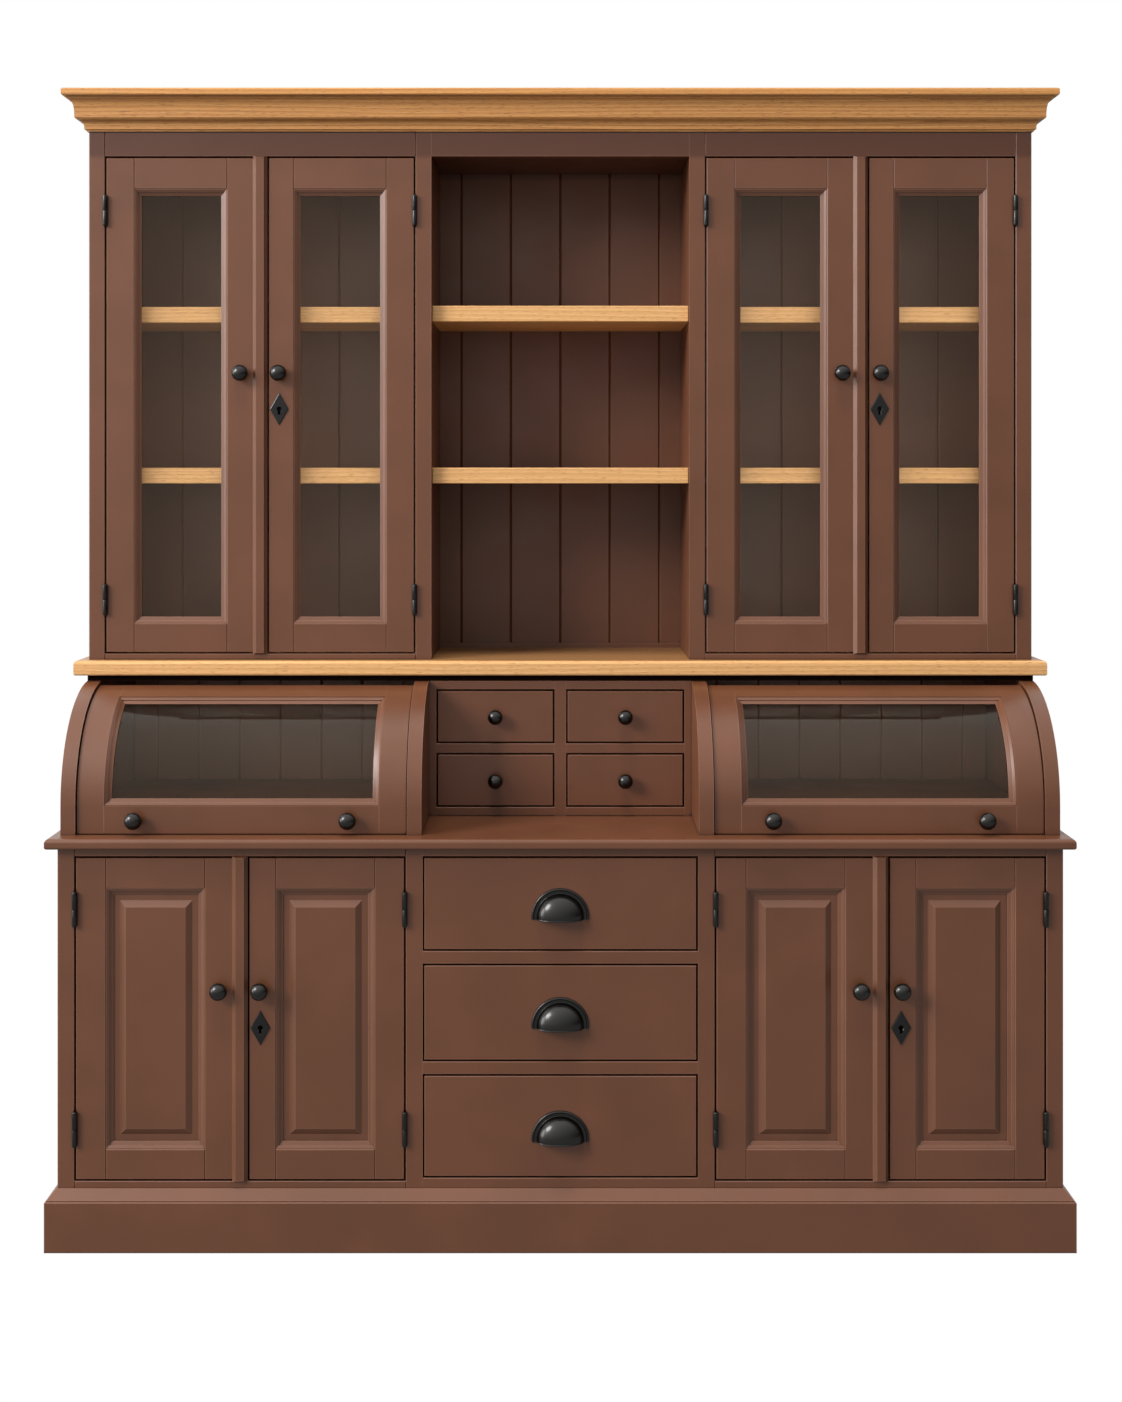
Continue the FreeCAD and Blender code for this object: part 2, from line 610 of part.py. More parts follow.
def flap_foot(x0, x1):
    """The straight bottom of the flap."""
    return box(x0, x1, ROLL_CENTRE_Y - FLAP_OUTER, ROLL_CENTRE_Y - FLAP_INNER,
               LEDGE_Z + FLAP_FLOOR_GAP, ROLL_CENTRE_Z)


def flap_bead(x0, x1):
    """The stepped glazing bead: a bent frame with a pocket that narrows towards the pane."""
    crest = FLAP_OUTER - MOULDING_LIP
    step = FLAP_OUTER - MOULDING_BEAD_DROP
    drop = FLAP_OUTER - MOULDING_DROP
    low, high = PANE_OUTER - OVERRUN, crest + OVERRUN
    block = ring_sector(PANE_OUTER, crest, 0, FLAP_RAIL_ANGLE, x0, x1)
    section = [(MOULDING_FLAT, high), (MOULDING_FLAT, crest), (MOULDING_BEAD, step),
               (MOULDING_BEAD, step - MOULDING_STEP), (MOULDING_WIDTH, drop), (MOULDING_WIDTH, low)]
    left = [V(x0 + a, ROLL_CENTRE_Y - r, ROLL_CENTRE_Z) for a, r in section]
    right = [V(x1 - a, ROLL_CENTRE_Y - r, ROLL_CENTRE_Z) for a, r in reversed(section)]
    centre = V(0, ROLL_CENTRE_Y, ROLL_CENTRE_Z)
    lengthwise = outline(left + right).revolve(centre, V(-1, 0, 0), FLAP_RAIL_ANGLE)
    angles = [math.degrees(a / FLAP_OUTER) for a, r in section]
    foot = [polar(x0, r, a) for a, (inset, r) in zip(angles, section)]
    head = [polar(x0, r, FLAP_RAIL_ANGLE - a) for a, (inset, r) in zip(angles, section)]
    edges = [Part.makeLine(a, b) for a, b in zip(foot, foot[1:])]
    edges.append(arc(x0, low, angles[-1], FLAP_RAIL_ANGLE - angles[-1]))
    edges += [Part.makeLine(b, a) for a, b in reversed(list(zip(head, head[1:])))]
    edges.append(arc(x0, high, FLAP_RAIL_ANGLE - angles[0], angles[0]))
    crosswise = Part.Face(Part.Wire(edges)).extrude(V(x1 - x0, 0, 0))
    return block.cut(lengthwise.common(crosswise))


def flap_pegs(x0, x1):
    pegs = []
    reach = FLAP_SIDE_GAP + PEG_LENGTH
    for degrees in PEG_ANGLES:
        for x, way in ((x0, -1), (x1, 1)):
            foot = polar(x, GROOVE_RADIUS, degrees)
            pegs.append(Part.makeCylinder(PEG_RADIUS, reach, foot, V(way, 0, 0)))
    return pegs


def make_flap_frame(side):
    x0, x1, in_x0, in_x1 = flap_edges(side)
    head = ring_sector(FLAP_INNER, FLAP_OUTER, FLAP_RAIL_ANGLE, FLAP_ANGLE, in_x0, in_x1)
    pieces = [flap_stile(x0, in_x0), flap_stile(in_x1, x1), flap_foot(in_x0, in_x1), head]
    return pieces + [flap_bead(in_x0, in_x1)] + flap_pegs(x0, x1)


def make_flap_glass(side):
    x0, x1, in_x0, in_x1 = flap_edges(side)
    return [ring_sector(PANE_OUTER - PANE_THICKNESS, PANE_OUTER, 0, FLAP_RAIL_ANGLE, in_x0, in_x1)]


def make_flap_knobs(side):
    x0, x1, in_x0, in_x1 = flap_edges(side)
    y = ROLL_CENTRE_Y - FLAP_OUTER
    z = ROLL_CENTRE_Z - FLAP_BOTTOM_RAIL / 2
    offset = FLAP_KNOB_OFFSET
    return [knob((x0 + x1) / 2 + way * offset, y, z, KNOB_RADIUS) for way in (-1, 1)]


# Small drawers and their case

def case_columns():
    """The two columns of small drawers: each opening's edges along X."""
    edge = ALCOVE_X - CASE_STILE
    half = CASE_MULLION / 2
    return [(-edge, -half), (half, edge)]


def case_rows():
    """The two rows of small drawers: each opening's bottom and top."""
    clear = (ROLL_TOP_HEIGHT - 2 * CASE_END_RAIL - CASE_MIDDLE_RAIL) / 2
    low = LEDGE_Z + CASE_END_RAIL
    high = low + clear + CASE_MIDDLE_RAIL
    return [(low, low + clear), (high, high + clear)]


def make_drawer_case():
    (low, low_top), (high, high_top) = case_rows()
    columns = case_columns()
    edge = columns[1][1]
    half = CASE_MULLION / 2
    boards = [box(x0, x1, CASE_Y, CASE_INSIDE_Y, LEDGE_Z, COVER_Z)
              for x0, x1 in ((-ALCOVE_X, -edge), (-half, half), (edge, ALCOVE_X))]
    for x0, x1 in columns:
        for z0, z1 in ((LEDGE_Z, low), (low_top, high), (high_top, COVER_Z)):
            boards.append(eased_box(x0, x1, CASE_Y, CASE_INSIDE_Y, z0, z1, RAIL_ENDS))
    for z in (low, high):
        boards.append(box(-ALCOVE_X, ALCOVE_X, CASE_INSIDE_Y, BACK_BOARD_Y, z - DUST_BOARD, z))
        boards += mirrored_boxes(edge, ALCOVE_X, CASE_INSIDE_Y, BACK_BOARD_Y, z, z + CASE_GUIDE_HEIGHT)
    half_partition = CASE_PARTITION / 2
    for z0, z1 in ((low, high - DUST_BOARD), (high, COVER_Z)):
        boards.append(box(-half_partition, half_partition, CASE_INSIDE_Y, BACK_BOARD_Y, z0, z1))
    cover_y = WORKTOP_Y + COVER_SETBACK
    boards.append(box(-SIDE_X, SIDE_X, cover_y, BACK_Y, COVER_Z, WORKTOP_Z))
    return boards


def drawer(x0, x1, z0, z1, face_y, back_y, side, bottom, headroom):
    """A drawer for the opening given: front, sides, back, bottom and the slips that hold the bottom."""
    inside_y = face_y + DRAWER_FRONT
    front = eased_box(x0 + DRAWER_GAP, x1 - DRAWER_GAP, face_y, inside_y, z0 + DRAWER_GAP, z1 - DRAWER_GAP)
    low, high = z0 + SLIDE_CLEARANCE, z1 - headroom
    left, right = x0 + DRAWER_GAP + SIDE_PLAY, x1 - DRAWER_GAP - SIDE_PLAY
    floor = low + SLIP_HEIGHT
    sides = [box(left, left + side, inside_y, back_y, low, high),
             box(right - side, right, inside_y, back_y, low, high)]
    back = box(left + side, right - side, back_y - side, back_y, low, high)
    base = box(left + side, right - side, inside_y, back_y - side, floor, floor + bottom)
    slips = [box(left + side, left + side + SLIP_WIDTH, inside_y, back_y - side, low, floor),
             box(right - side - SLIP_WIDTH, right - side, inside_y, back_y - side, low, floor)]
    return [front] + sides + [back, base] + slips


def make_small_drawer(column, row):
    return drawer(*column, *row, CASE_Y, BACK_BOARD_Y - DRAWER_BACK_GAP,
                  SMALL_DRAWER_SIDE, SMALL_DRAWER_BOTTOM, SMALL_DRAWER_HEADROOM)


def make_small_knob(column, row):
    return [knob(sum(column) / 2, CASE_Y, sum(row) / 2, SMALL_KNOB_RADIUS)]


def make_large_drawer(opening):
    return drawer(-BAY_X, BAY_X, *opening, FACE_Y, BACK_BOARD_Y - DRAWER_BACK_GAP,
                  DRAWER_SIDE, DRAWER_BOTTOM, DRAWER_HEADROOM)


# Ironmongery

def dome_curve(at, foot, radius, rise, shoulder):
    """A dome's outline: a small arc at its edge, then a wide one to the crown."""
    wide = ((radius - shoulder) ** 2 + rise ** 2 - shoulder ** 2) / (2 * (rise - shoulder))
    lean = math.atan2(radius - shoulder, wide - rise)
    right_angle = math.pi / 2

    def shoulder_point(turn):
        return at(radius - shoulder + shoulder * math.sin(turn), foot + shoulder * math.cos(turn))

    def wide_point(turn):
        return at(wide * math.sin(turn), foot + rise - wide + wide * math.cos(turn))

    return [three_point_arc(shoulder_point(right_angle), shoulder_point((right_angle + lean) / 2),
                            shoulder_point(lean)),
            three_point_arc(shoulder_point(lean), wide_point(lean / 2), wide_point(0))]


def knob(x, y, z, radius):
    """A domed knob on a short neck, pointing to the front."""
    def at(r, out):
        return V(x + r, y - out, z)

    foot, neck = radius * KNOB_FOOT_SHARE, radius * KNOB_NECK_SHARE
    foot_out, neck_out = KNOB_PROJECTION * KNOB_FOOT_HEIGHT_SHARE, KNOB_PROJECTION * KNOB_NECK_HEIGHT_SHARE
    under = radius * KNOB_UNDER_SHARE
    widest = neck_out + under
    rise = KNOB_PROJECTION - widest
    diagonal = math.sqrt(0.5)
    under_middle = at(radius - under * (1 - diagonal), widest - under * diagonal)
    edges = [Part.makeLine(at(0, 0), at(foot, 0)),
             Part.makeLine(at(foot, 0), at(foot, foot_out)),
             Part.makeLine(at(foot, foot_out), at(neck, neck_out)),
             Part.makeLine(at(neck, neck_out), at(radius - under, neck_out)),
             three_point_arc(at(radius - under, neck_out), under_middle, at(radius, widest))]
    edges += dome_curve(at, widest, radius, rise, rise * KNOB_SHOULDER_SHARE)
    return turned(x, y, z, edges + [Part.makeLine(at(0, KNOB_PROJECTION), at(0, 0))])


def cup_section(way, z):
    """Half of the cup pull's level section, on the right or on the left."""
    def at(r, out):
        return V(way * r, FACE_Y - out, z)

    foot = CUP_RIM_THICKNESS
    rise = CUP_PROJECTION - foot
    inner, rim = CUP_RADIUS - CUP_WALL, CUP_RADIUS + CUP_RIM
    outside = dome_curve(at, foot, CUP_RADIUS, rise, CUP_SHOULDER)
    inside = dome_curve(at, foot, inner, rise - CUP_WALL, CUP_SHOULDER - CUP_WALL)
    edges = [Part.makeLine(at(inner, foot), at(inner, 0)), Part.makeLine(at(inner, 0), at(rim, 0)),
             Part.makeLine(at(rim, 0), at(rim, foot)), Part.makeLine(at(rim, foot), at(CUP_RADIUS, foot))]
    edges += outside + [Part.makeLine(at(0, CUP_PROJECTION), at(0, CUP_PROJECTION - CUP_WALL))]
    return Part.Face(Part.Wire(edges + inside[::-1]))


def make_cup_pull(opening):
    height = CUP_RADIUS + CUP_RIM + CUP_SKIRT
    z = sum(opening) / 2 - height / 2 + CUP_SKIRT
    dome = cup_section(1, z).revolve(V(0, FACE_Y, z), V(0, -1, 0), 180)
    skirts = [cup_section(way, z).extrude(V(0, 0, -CUP_SKIRT)) for way in (-1, 1)]
    return [dome.fuse(skirts).removeSplitter()]


def keyhole(x, y0, y1, z):
    """The shape of a keyhole, from depth y0 to depth y1."""
    eye = Part.makeCylinder(KEYHOLE_RADIUS, y1 - y0, V(x, y0, z), V(0, 1, 0))
    half = KEYHOLE_SLOT_WIDTH / 2
    return eye.fuse(box(x - half, x + half, y0, y1, z - KEYHOLE_SLOT_LENGTH, z)).removeSplitter()


def escutcheon(x, y, z):
    half_x, half_z = ESCUTCHEON_WIDTH / 2, ESCUTCHEON_HEIGHT / 2
    points = [V(x - half_x, y, z), V(x, y, z - half_z), V(x + half_x, y, z), V(x, y, z + half_z)]
    plate = outline(points).extrude(V(0, -ESCUTCHEON_THICKNESS, 0))
    front = y - ESCUTCHEON_THICKNESS
    return plate.cut(keyhole(x, front - OVERRUN, y + OVERRUN, z))


def lock_case(leaf):
    """A rim lock's case on the back of a leaf, hollow where its bolt slides."""
    x0, y0, z = leaf.x0 + LOCK_INSET, leaf.face_y + LEAF_THICKNESS, leaf.knob_z - KEYHOLE_DROP
    half, bolt_half = LOCK_HEIGHT / 2, BOLT_HEIGHT / 2 + BOLT_CLEARANCE
    case = box(x0, x0 + LOCK_WIDTH, y0, y0 + LOCK_THICKNESS, z - half, z + half)
    bolt_y = y0 + (LOCK_THICKNESS - BOLT_THICKNESS) / 2
    return case.cut(box(x0 - OVERRUN, x0 + BOLT_LENGTH + BOLT_CLEARANCE, bolt_y - BOLT_CLEARANCE,
                        bolt_y + BOLT_THICKNESS + BOLT_CLEARANCE, z - bolt_half, z + bolt_half))


def make_lock_bolt(leaf):
    x0, z = leaf.x0 + LOCK_INSET, leaf.knob_z - KEYHOLE_DROP
    y0 = leaf.face_y + LEAF_THICKNESS + (LOCK_THICKNESS - BOLT_THICKNESS) / 2
    return [box(x0, x0 + BOLT_LENGTH, y0, y0 + BOLT_THICKNESS, z - BOLT_HEIGHT / 2, z + BOLT_HEIGHT / 2)]


def hinge_heights(leaf):
    return [leaf.z0 - DOOR_GAP + leaf.hinge_inset, leaf.z1 + DOOR_GAP - leaf.hinge_inset]


def hinge_plate(leaf, way, z0, z1, y0, y1):
    """One thickness of plate in the gap, against the frame (-1) or against the leaf (1)."""
    far = DOOR_GAP / 2
    outward = leaf.into * way
    x0, x1 = sorted((leaf.hinge_x + outward * far, leaf.hinge_x + outward * (far - HINGE_PLATE)))
    return box(x0, x1, y0, y1, z0, z1)


def pin_y(leaf):
    return leaf.face_y - HINGE_RADIUS - HINGE_CLEARANCE


def knuckle(leaf, way, z0, z1, tip_z):
    """One knuckle with the web to its plate; its end at tip_z is rounded."""
    y = pin_y(leaf)
    barrel = Part.makeCylinder(HINGE_RADIUS, z1 - z0, V(leaf.hinge_x, y, z0))
    tip = edges_where(barrel, lambda at: abs(at.z - tip_z) < TOUCH)
    middle = (z0 + z1) / 2
    web = hinge_plate(leaf, way, *sorted((middle, z0 + z1 - tip_z)), y, leaf.face_y)
    return barrel.makeFillet(HINGE_TIP, tip).fuse(web)


def frame_hinge(leaf, z):
    """The fixed half of a lift-off hinge: plate, lower knuckle and the pin that stands in it."""
    low, high = z - leaf.hinge_length / 2, z + leaf.hinge_length / 2
    plate = hinge_plate(leaf, -1, low, high, leaf.face_y, leaf.face_y + HINGE_PLATE_DEPTH)
    pin = Part.makeCylinder(HINGE_PIN_RADIUS, HINGE_PIN_REACH, V(leaf.hinge_x, pin_y(leaf), z))
    return plate.fuse([knuckle(leaf, -1, low, z, low), pin]).removeSplitter()


def leaf_hinge(leaf, z):
    """The moving half of a lift-off hinge: plate and upper knuckle, bored from below for the pin."""
    low, high = z - leaf.hinge_length / 2, z + leaf.hinge_length / 2
    foot, bore_radius = z + HINGE_CLEARANCE, HINGE_PIN_RADIUS + HINGE_CLEARANCE
    plate = hinge_plate(leaf, 1, low, high, leaf.face_y, leaf.face_y + HINGE_PLATE_DEPTH)
    bore = Part.makeCylinder(bore_radius, HINGE_PIN_REACH, V(leaf.hinge_x, pin_y(leaf), foot))
    return plate.fuse(knuckle(leaf, 1, foot, high, high)).removeSplitter().cut(bore)


def make_ironmongery(leaf):
    pieces = [knob(leaf.knob_x, leaf.face_y, leaf.knob_z, KNOB_RADIUS)]
    pieces += [leaf_hinge(leaf, z) for z in hinge_heights(leaf)]
    if leaf.locked:
        pieces += [escutcheon(leaf.knob_x, leaf.face_y, leaf.knob_z - KEYHOLE_DROP), lock_case(leaf)]
    return pieces


# Doors

def make_leaf(tier, side, locked):
    """Where one leaf of a pair lies: the left leaf carries the cover strip, the right one the lock."""
    pair_x = side * PAIR_X
    split = pair_x + STRIP_WIDTH / 2
    z0, z1 = tier.sill + DOOR_GAP, tier.sill + tier.opening - DOOR_GAP
    if locked:
        into = -1
        x0, x1 = split + DOOR_GAP, pair_x + DOOR_HALF - DOOR_GAP
        in_x0, in_x1 = pair_x + MEETING_HALF, x1 - HINGE_STILE
        hinge_x, knob_x = x1 + DOOR_GAP / 2, pair_x + KNOB_OFFSET
    else:
        into = 1
        x0, x1 = pair_x - DOOR_HALF + DOOR_GAP, split
        in_x0, in_x1 = x0 + HINGE_STILE, pair_x - MEETING_HALF
        hinge_x, knob_x = x0 - DOOR_GAP / 2, pair_x - KNOB_OFFSET
    place = "outer" if side * into < 0 else "inner"
    name = ("left_" if side < 0 else "right_") + place + "_" + tier.name + "_door"
    return Leaf(name, tier.face_y, x0, x1, z0, z1, in_x0, in_x1, z0 + tier.bottom_rail, z1 - tier.top_rail,
                hinge_x, into, knob_x, tier.sill + tier.knob_share * tier.opening,
                tier.hinge_length, tier.hinge_inset, locked)


def leaf_frame(leaf):
    """Two stiles and two rails, the cover strip of a left leaf and the keyhole of a right one."""
    y0, y1 = leaf.face_y, leaf.face_y + LEAF_THICKNESS
    left = eased_box(leaf.x0, leaf.in_x0, y0, y1, leaf.z0, leaf.z1)
    right = eased_box(leaf.in_x1, leaf.x1, y0, y1, leaf.z0, leaf.z1)
    rails = [eased_box(leaf.in_x0, leaf.in_x1, y0, y1, z0, z1)
             for z0, z1 in ((leaf.z0, leaf.in_z0), (leaf.in_z1, leaf.z1))]
    if leaf.locked:
        left = left.cut(keyhole(leaf.knob_x, y0 - OVERRUN, y1 + OVERRUN, leaf.knob_z - KEYHOLE_DROP))
        return [left, right] + rails
    return [left, right] + rails + [cover_strip(leaf)]


def cover_strip(leaf):
    """The bevelled strip on the meeting edge, a little longer than the leaf."""
    slope = (STRIP_WIDTH - STRIP_FACE) / 2

    def ring(out, inset, end):
        x0, x1 = leaf.x1 - STRIP_WIDTH + inset, leaf.x1 - inset
        z0, z1 = leaf.z0 - STRIP_LAP + end, leaf.z1 + STRIP_LAP - end
        y = leaf.face_y - out
        return [V(x0, y, z0), V(x1, y, z0), V(x1, y, z1), V(x0, y, z1)]

    return prismatoid(ring(0, 0, 0), ring(STRIP_THICKNESS, slope, STRIP_END_BEVEL))


def leaf_mouldings(leaf):
    """An outer bead and, a step lower, the bevelled length that holds the pane or panel."""
    opening = (leaf.in_x0, leaf.in_x1, leaf.in_z0, leaf.in_z1)
    bead = [(0, MOULDING_LIP), (MOULDING_FLAT, MOULDING_LIP), (MOULDING_BEAD, MOULDING_BEAD_DROP),
            (MOULDING_BEAD, PANE_DEPTH), (0, PANE_DEPTH)]
    bevel = [(MOULDING_BEAD, MOULDING_BEAD_DROP + MOULDING_STEP), (MOULDING_WIDTH, MOULDING_DROP),
             (MOULDING_WIDTH, PANE_DEPTH), (MOULDING_BEAD, PANE_DEPTH)]
    return mitred_frame(*opening, leaf.face_y, bead) + mitred_frame(*opening, leaf.face_y, bevel)


def make_hutch_door(leaf):
    front = PANE_DEPTH + PANE_THICKNESS
    back = front + REAR_BEAD_DEPTH
    bead = [(0, front), (REAR_BEAD_WIDTH, front), (REAR_BEAD_WIDTH, back), (0, back)]
    beads = mitred_frame(leaf.in_x0, leaf.in_x1, leaf.in_z0, leaf.in_z1, leaf.face_y, bead)
    return leaf_frame(leaf) + leaf_mouldings(leaf) + beads


def make_pane(leaf):
    y = leaf.face_y + PANE_DEPTH
    return [box(leaf.in_x0, leaf.in_x1, y, y + PANE_THICKNESS, leaf.in_z0, leaf.in_z1)]


def raised_panel(leaf):
    """A panel with a flat margin behind the moulding and a bevel up to its field."""
    y = leaf.face_y + PANE_DEPTH
    board = box(leaf.in_x0, leaf.in_x1, y, y + PANEL_THICKNESS, leaf.in_z0, leaf.in_z1)

    def ring(inset, depth):
        x0, x1, z0, z1 = leaf.in_x0 + inset, leaf.in_x1 - inset, leaf.in_z0 + inset, leaf.in_z1 - inset
        return [V(x0, depth, z0), V(x1, depth, z0), V(x1, depth, z1), V(x0, depth, z1)]

    margin = MOULDING_WIDTH + PANEL_MARGIN
    field = prismatoid(ring(margin, y), ring(margin + PANEL_BEVEL, y - PANEL_RAISE))
    return board.fuse(field).removeSplitter()


def make_base_door(leaf):
    return leaf_frame(leaf) + leaf_mouldings(leaf) + [raised_panel(leaf)]


# Write every node

def main():
    os.makedirs("parts", exist_ok=True)
    save("plinth", make_plinth())
    save("base_uprights", make_base_uprights())
    save("base_floor_and_shelves", make_base_floor_and_shelves())
    save("base_face_frame", make_base_face_frame())
    save("base_top_board", make_base_top())
    save("lower_back_boards", make_lower_back_boards())
    save("drawer_runners", make_drawer_runners())
    save("roll_top_side_panels", make_roll_panels())
    save("small_drawer_case", make_drawer_case())
    save("oak_worktop", make_worktop())
    save("hutch_uprights", make_hutch_uprights())
    save("hutch_face_frame", make_hutch_face_frame())
    save("hutch_shelves", make_hutch_shelves())
    save("hutch_back_boards", make_hutch_back_boards())
    save("oak_cornice", make_cornice())
    leaves = [make_leaf(tier, side, locked) for tier in (HUTCH_TIER, BASE_TIER)
              for side in (-1, 1) for locked in (False, True)]
    save("hinge_frame_halves", [frame_hinge(leaf, z) for leaf in leaves for z in hinge_heights(leaf)])
    for leaf in leaves:
        if leaf.face_y == HUTCH_Y:
            save(leaf.name + "_frame", make_hutch_door(leaf))
            save(leaf.name + "_glass", make_pane(leaf))
        else:
            save(leaf.name + "_panelling", make_base_door(leaf))
        save(leaf.name + "_ironmongery", make_ironmongery(leaf))
        if leaf.locked:
            save(leaf.name + "_lock_bolt", make_lock_bolt(leaf))
    for side, word in ((-1, "left"), (1, "right")):
        save(word + "_flap_frame", make_flap_frame(side))
        save(word + "_flap_glass", make_flap_glass(side))
        save(word + "_flap_knobs", make_flap_knobs(side))
    for row, height in zip(case_rows(), ("lower", "upper")):
        for column, word in zip(case_columns(), ("left", "right")):
            name = height + "_" + word + "_small_drawer"
            save(name, make_small_drawer(column, row))
            save(name + "_knob", make_small_knob(column, row))
    for opening, word in zip(drawer_openings(), ("bottom", "middle", "top")):
        save(word + "_large_drawer", make_large_drawer(opening))
        save(word + "_large_drawer_cup_pull", make_cup_pull(opening))


main()
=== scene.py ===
# %% [markdown]
# # Dressing a painted dresser
# The solid model already holds every board, moulding, pane and hinge of this dresser in its right
# place. What is left for Blender is what the eye adds: the light, the paint, the oak, the black iron
# and the handles close up. The solids are loaded first and stay where they are, because drawers,
# doors and flaps move with them.

# %% Load the solid model
import json
import math

import bpy
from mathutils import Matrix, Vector


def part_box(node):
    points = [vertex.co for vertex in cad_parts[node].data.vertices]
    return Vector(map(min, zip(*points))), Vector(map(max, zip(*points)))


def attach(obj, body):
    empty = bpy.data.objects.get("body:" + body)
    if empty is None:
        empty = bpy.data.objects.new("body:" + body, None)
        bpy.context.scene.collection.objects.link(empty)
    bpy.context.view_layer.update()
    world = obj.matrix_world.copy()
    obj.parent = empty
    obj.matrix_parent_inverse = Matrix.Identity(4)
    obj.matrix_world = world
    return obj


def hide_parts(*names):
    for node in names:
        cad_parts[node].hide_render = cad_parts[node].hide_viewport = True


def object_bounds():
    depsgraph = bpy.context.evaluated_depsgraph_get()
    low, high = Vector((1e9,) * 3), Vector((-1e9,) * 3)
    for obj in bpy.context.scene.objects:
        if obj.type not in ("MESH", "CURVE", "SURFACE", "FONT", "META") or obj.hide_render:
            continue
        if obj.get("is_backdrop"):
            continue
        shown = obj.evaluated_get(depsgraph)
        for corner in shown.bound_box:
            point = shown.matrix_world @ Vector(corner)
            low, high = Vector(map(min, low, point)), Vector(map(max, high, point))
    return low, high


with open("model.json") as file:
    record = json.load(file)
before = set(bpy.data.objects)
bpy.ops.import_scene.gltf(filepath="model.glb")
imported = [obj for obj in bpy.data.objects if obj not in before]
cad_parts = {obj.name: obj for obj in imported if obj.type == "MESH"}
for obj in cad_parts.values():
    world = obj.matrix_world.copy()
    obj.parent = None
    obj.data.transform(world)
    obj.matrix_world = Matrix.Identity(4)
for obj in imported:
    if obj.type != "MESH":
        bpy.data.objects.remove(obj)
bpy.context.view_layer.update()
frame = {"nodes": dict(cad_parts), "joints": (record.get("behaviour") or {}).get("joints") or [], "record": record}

MM = 0.001
nodes = frame["nodes"]
record = frame["record"]

# %% [markdown]
# ## The camera
# The picture looks straight at the front, from a little above the middle shelf, and all upright edges
# stay upright. A camera that is tilted would make them lean, so this one stays level and its film is
# shifted down instead, as on a view camera.

# %% Place the camera
PICTURE_WIDTH, PICTURE_HEIGHT = 1122, 1402
HORIZON_ROW = 478
MIDDLE_COLUMN = 560.3
FOCAL_PIXELS = 1853
EYE = Vector((0.0, -3745.0, 1456.0)) * MM

bpy.ops.object.camera_add(location=EYE, rotation=(math.radians(90), 0, 0))
camera = bpy.context.object
camera.name = "level_camera"
camera.data.lens = FOCAL_PIXELS / PICTURE_HEIGHT * camera.data.sensor_width
camera.data.shift_x = (PICTURE_WIDTH / 2 - MIDDLE_COLUMN) / PICTURE_HEIGHT
camera.data.shift_y = (HORIZON_ROW - PICTURE_HEIGHT / 2) / PICTURE_HEIGHT
bpy.context.scene.camera = camera
print("lens in mm:", round(camera.data.lens, 2), "shift:", round(camera.data.shift_y, 4))

# %% [markdown]
# ## Small helpers for every finish
# Colours are easier to read and to compare as the hex codes of a paint chart, but shaders add up light,
# which is linear, so one function turns a code into linear light. Another adds a node, sets it up and
# links what feeds it, so that a finish reads as a short list. Patterns are thought of in millimetres,
# as they would be measured on the real dresser, and a third function turns that into their scale.

# %% Colour and node helpers


def linear(code):
    """The linear colour of an sRGB hex code, as shaders need it."""
    parts = [int(code[i:i + 2], 16) / 255 for i in (1, 3, 5)]
    return [p / 12.92 if p <= 0.04045 else ((p + 0.055) / 1.055) ** 2.4 for p in parts] + [1.0]


def add_node(tree, kind, feeds=None, **settings):
    """Add one node; feeds maps its inputs to a value or to another node's output."""
    node = tree.nodes.new(kind)
    for name, value in settings.items():
        setattr(node, name, value)
    for name, value in (feeds or {}).items():
        if isinstance(value, bpy.types.NodeSocket):
            tree.links.new(value, node.inputs[name])
        else:
            node.inputs[name].default_value = value
    return node


def new_finish(name):
    """An empty material with one Principled shader wired to its output."""
    finish = bpy.data.materials.new(name)
    finish.use_nodes = True
    tree = finish.node_tree
    tree.nodes.clear()
    shader = add_node(tree, "ShaderNodeBsdfPrincipled")
    add_node(tree, "ShaderNodeOutputMaterial", {"Surface": shader.outputs["BSDF"]})
    return finish, tree, shader


def place_on_object(tree):
    """Where a point lies on the dresser, which stays the same when the piece moves."""
    return add_node(tree, "ShaderNodeTexCoord").outputs["Object"]


def per_size(millimetres):
    """The texture scale at which one feature is about this many millimetres wide."""
    return 1 / (millimetres * MM)


print("hex #6E4A3C is", [round(v, 3) for v in linear("#6E4A3C")[:3]])

# %% [markdown]
# ## Brown eggshell paint
# The carcass is wood under eggshell paint, a water-based paint with a low sheen that was brushed and
# rolled on. The eye sees an even red-brown with slow, faint changes of tone where the coat is thicker
# and a very fine stipple from the roller. Every edge is painted paler, partly wear where the paint is
# thin and hands rub past, partly a painted highlight. Gaps, joints and crevices are painted near black,
# partly dust and partly painted shade, and a band under the cornice is painted darker as the cornice's
# painted shadow. The boards of the back were brushed, not rolled: their coat is duller and half fills
# their joints, which get less of the painted dust and shade. An image would repeat and blur, so noise
# makes the tone, a Bevel node finds the edges and an Ambient Occlusion node finds the gaps.

# %% Eggshell paint
PAINT_DEEP, PAINT_MID, PAINT_EDGE_WEAR_AND_HIGHLIGHT, PAINT_GAP_DUST_AND_SHADE = "#613A24", "#693F29", "#946C5A", "#140B07"
PAINT_CORNICE_SHADE, CORNICE_SHADE_FROM, CORNICE_SHADE_TO = "#4C250E", 2097.0, 2108.0
TONE_SIZE = 150.0
STIPPLE_SIZE = 3.0     # a roller's stipple is about 1 mm; drawn three times coarser so that it shows
HANDLED_SIZE = 90.0
PAINT_ROUGHNESS, BRUSHED_ROUGHNESS, HANDLED_SPREAD = 0.38, 0.46, 0.04
EDGE_RADIUS = 2.0
GAP_REACH = 9.0


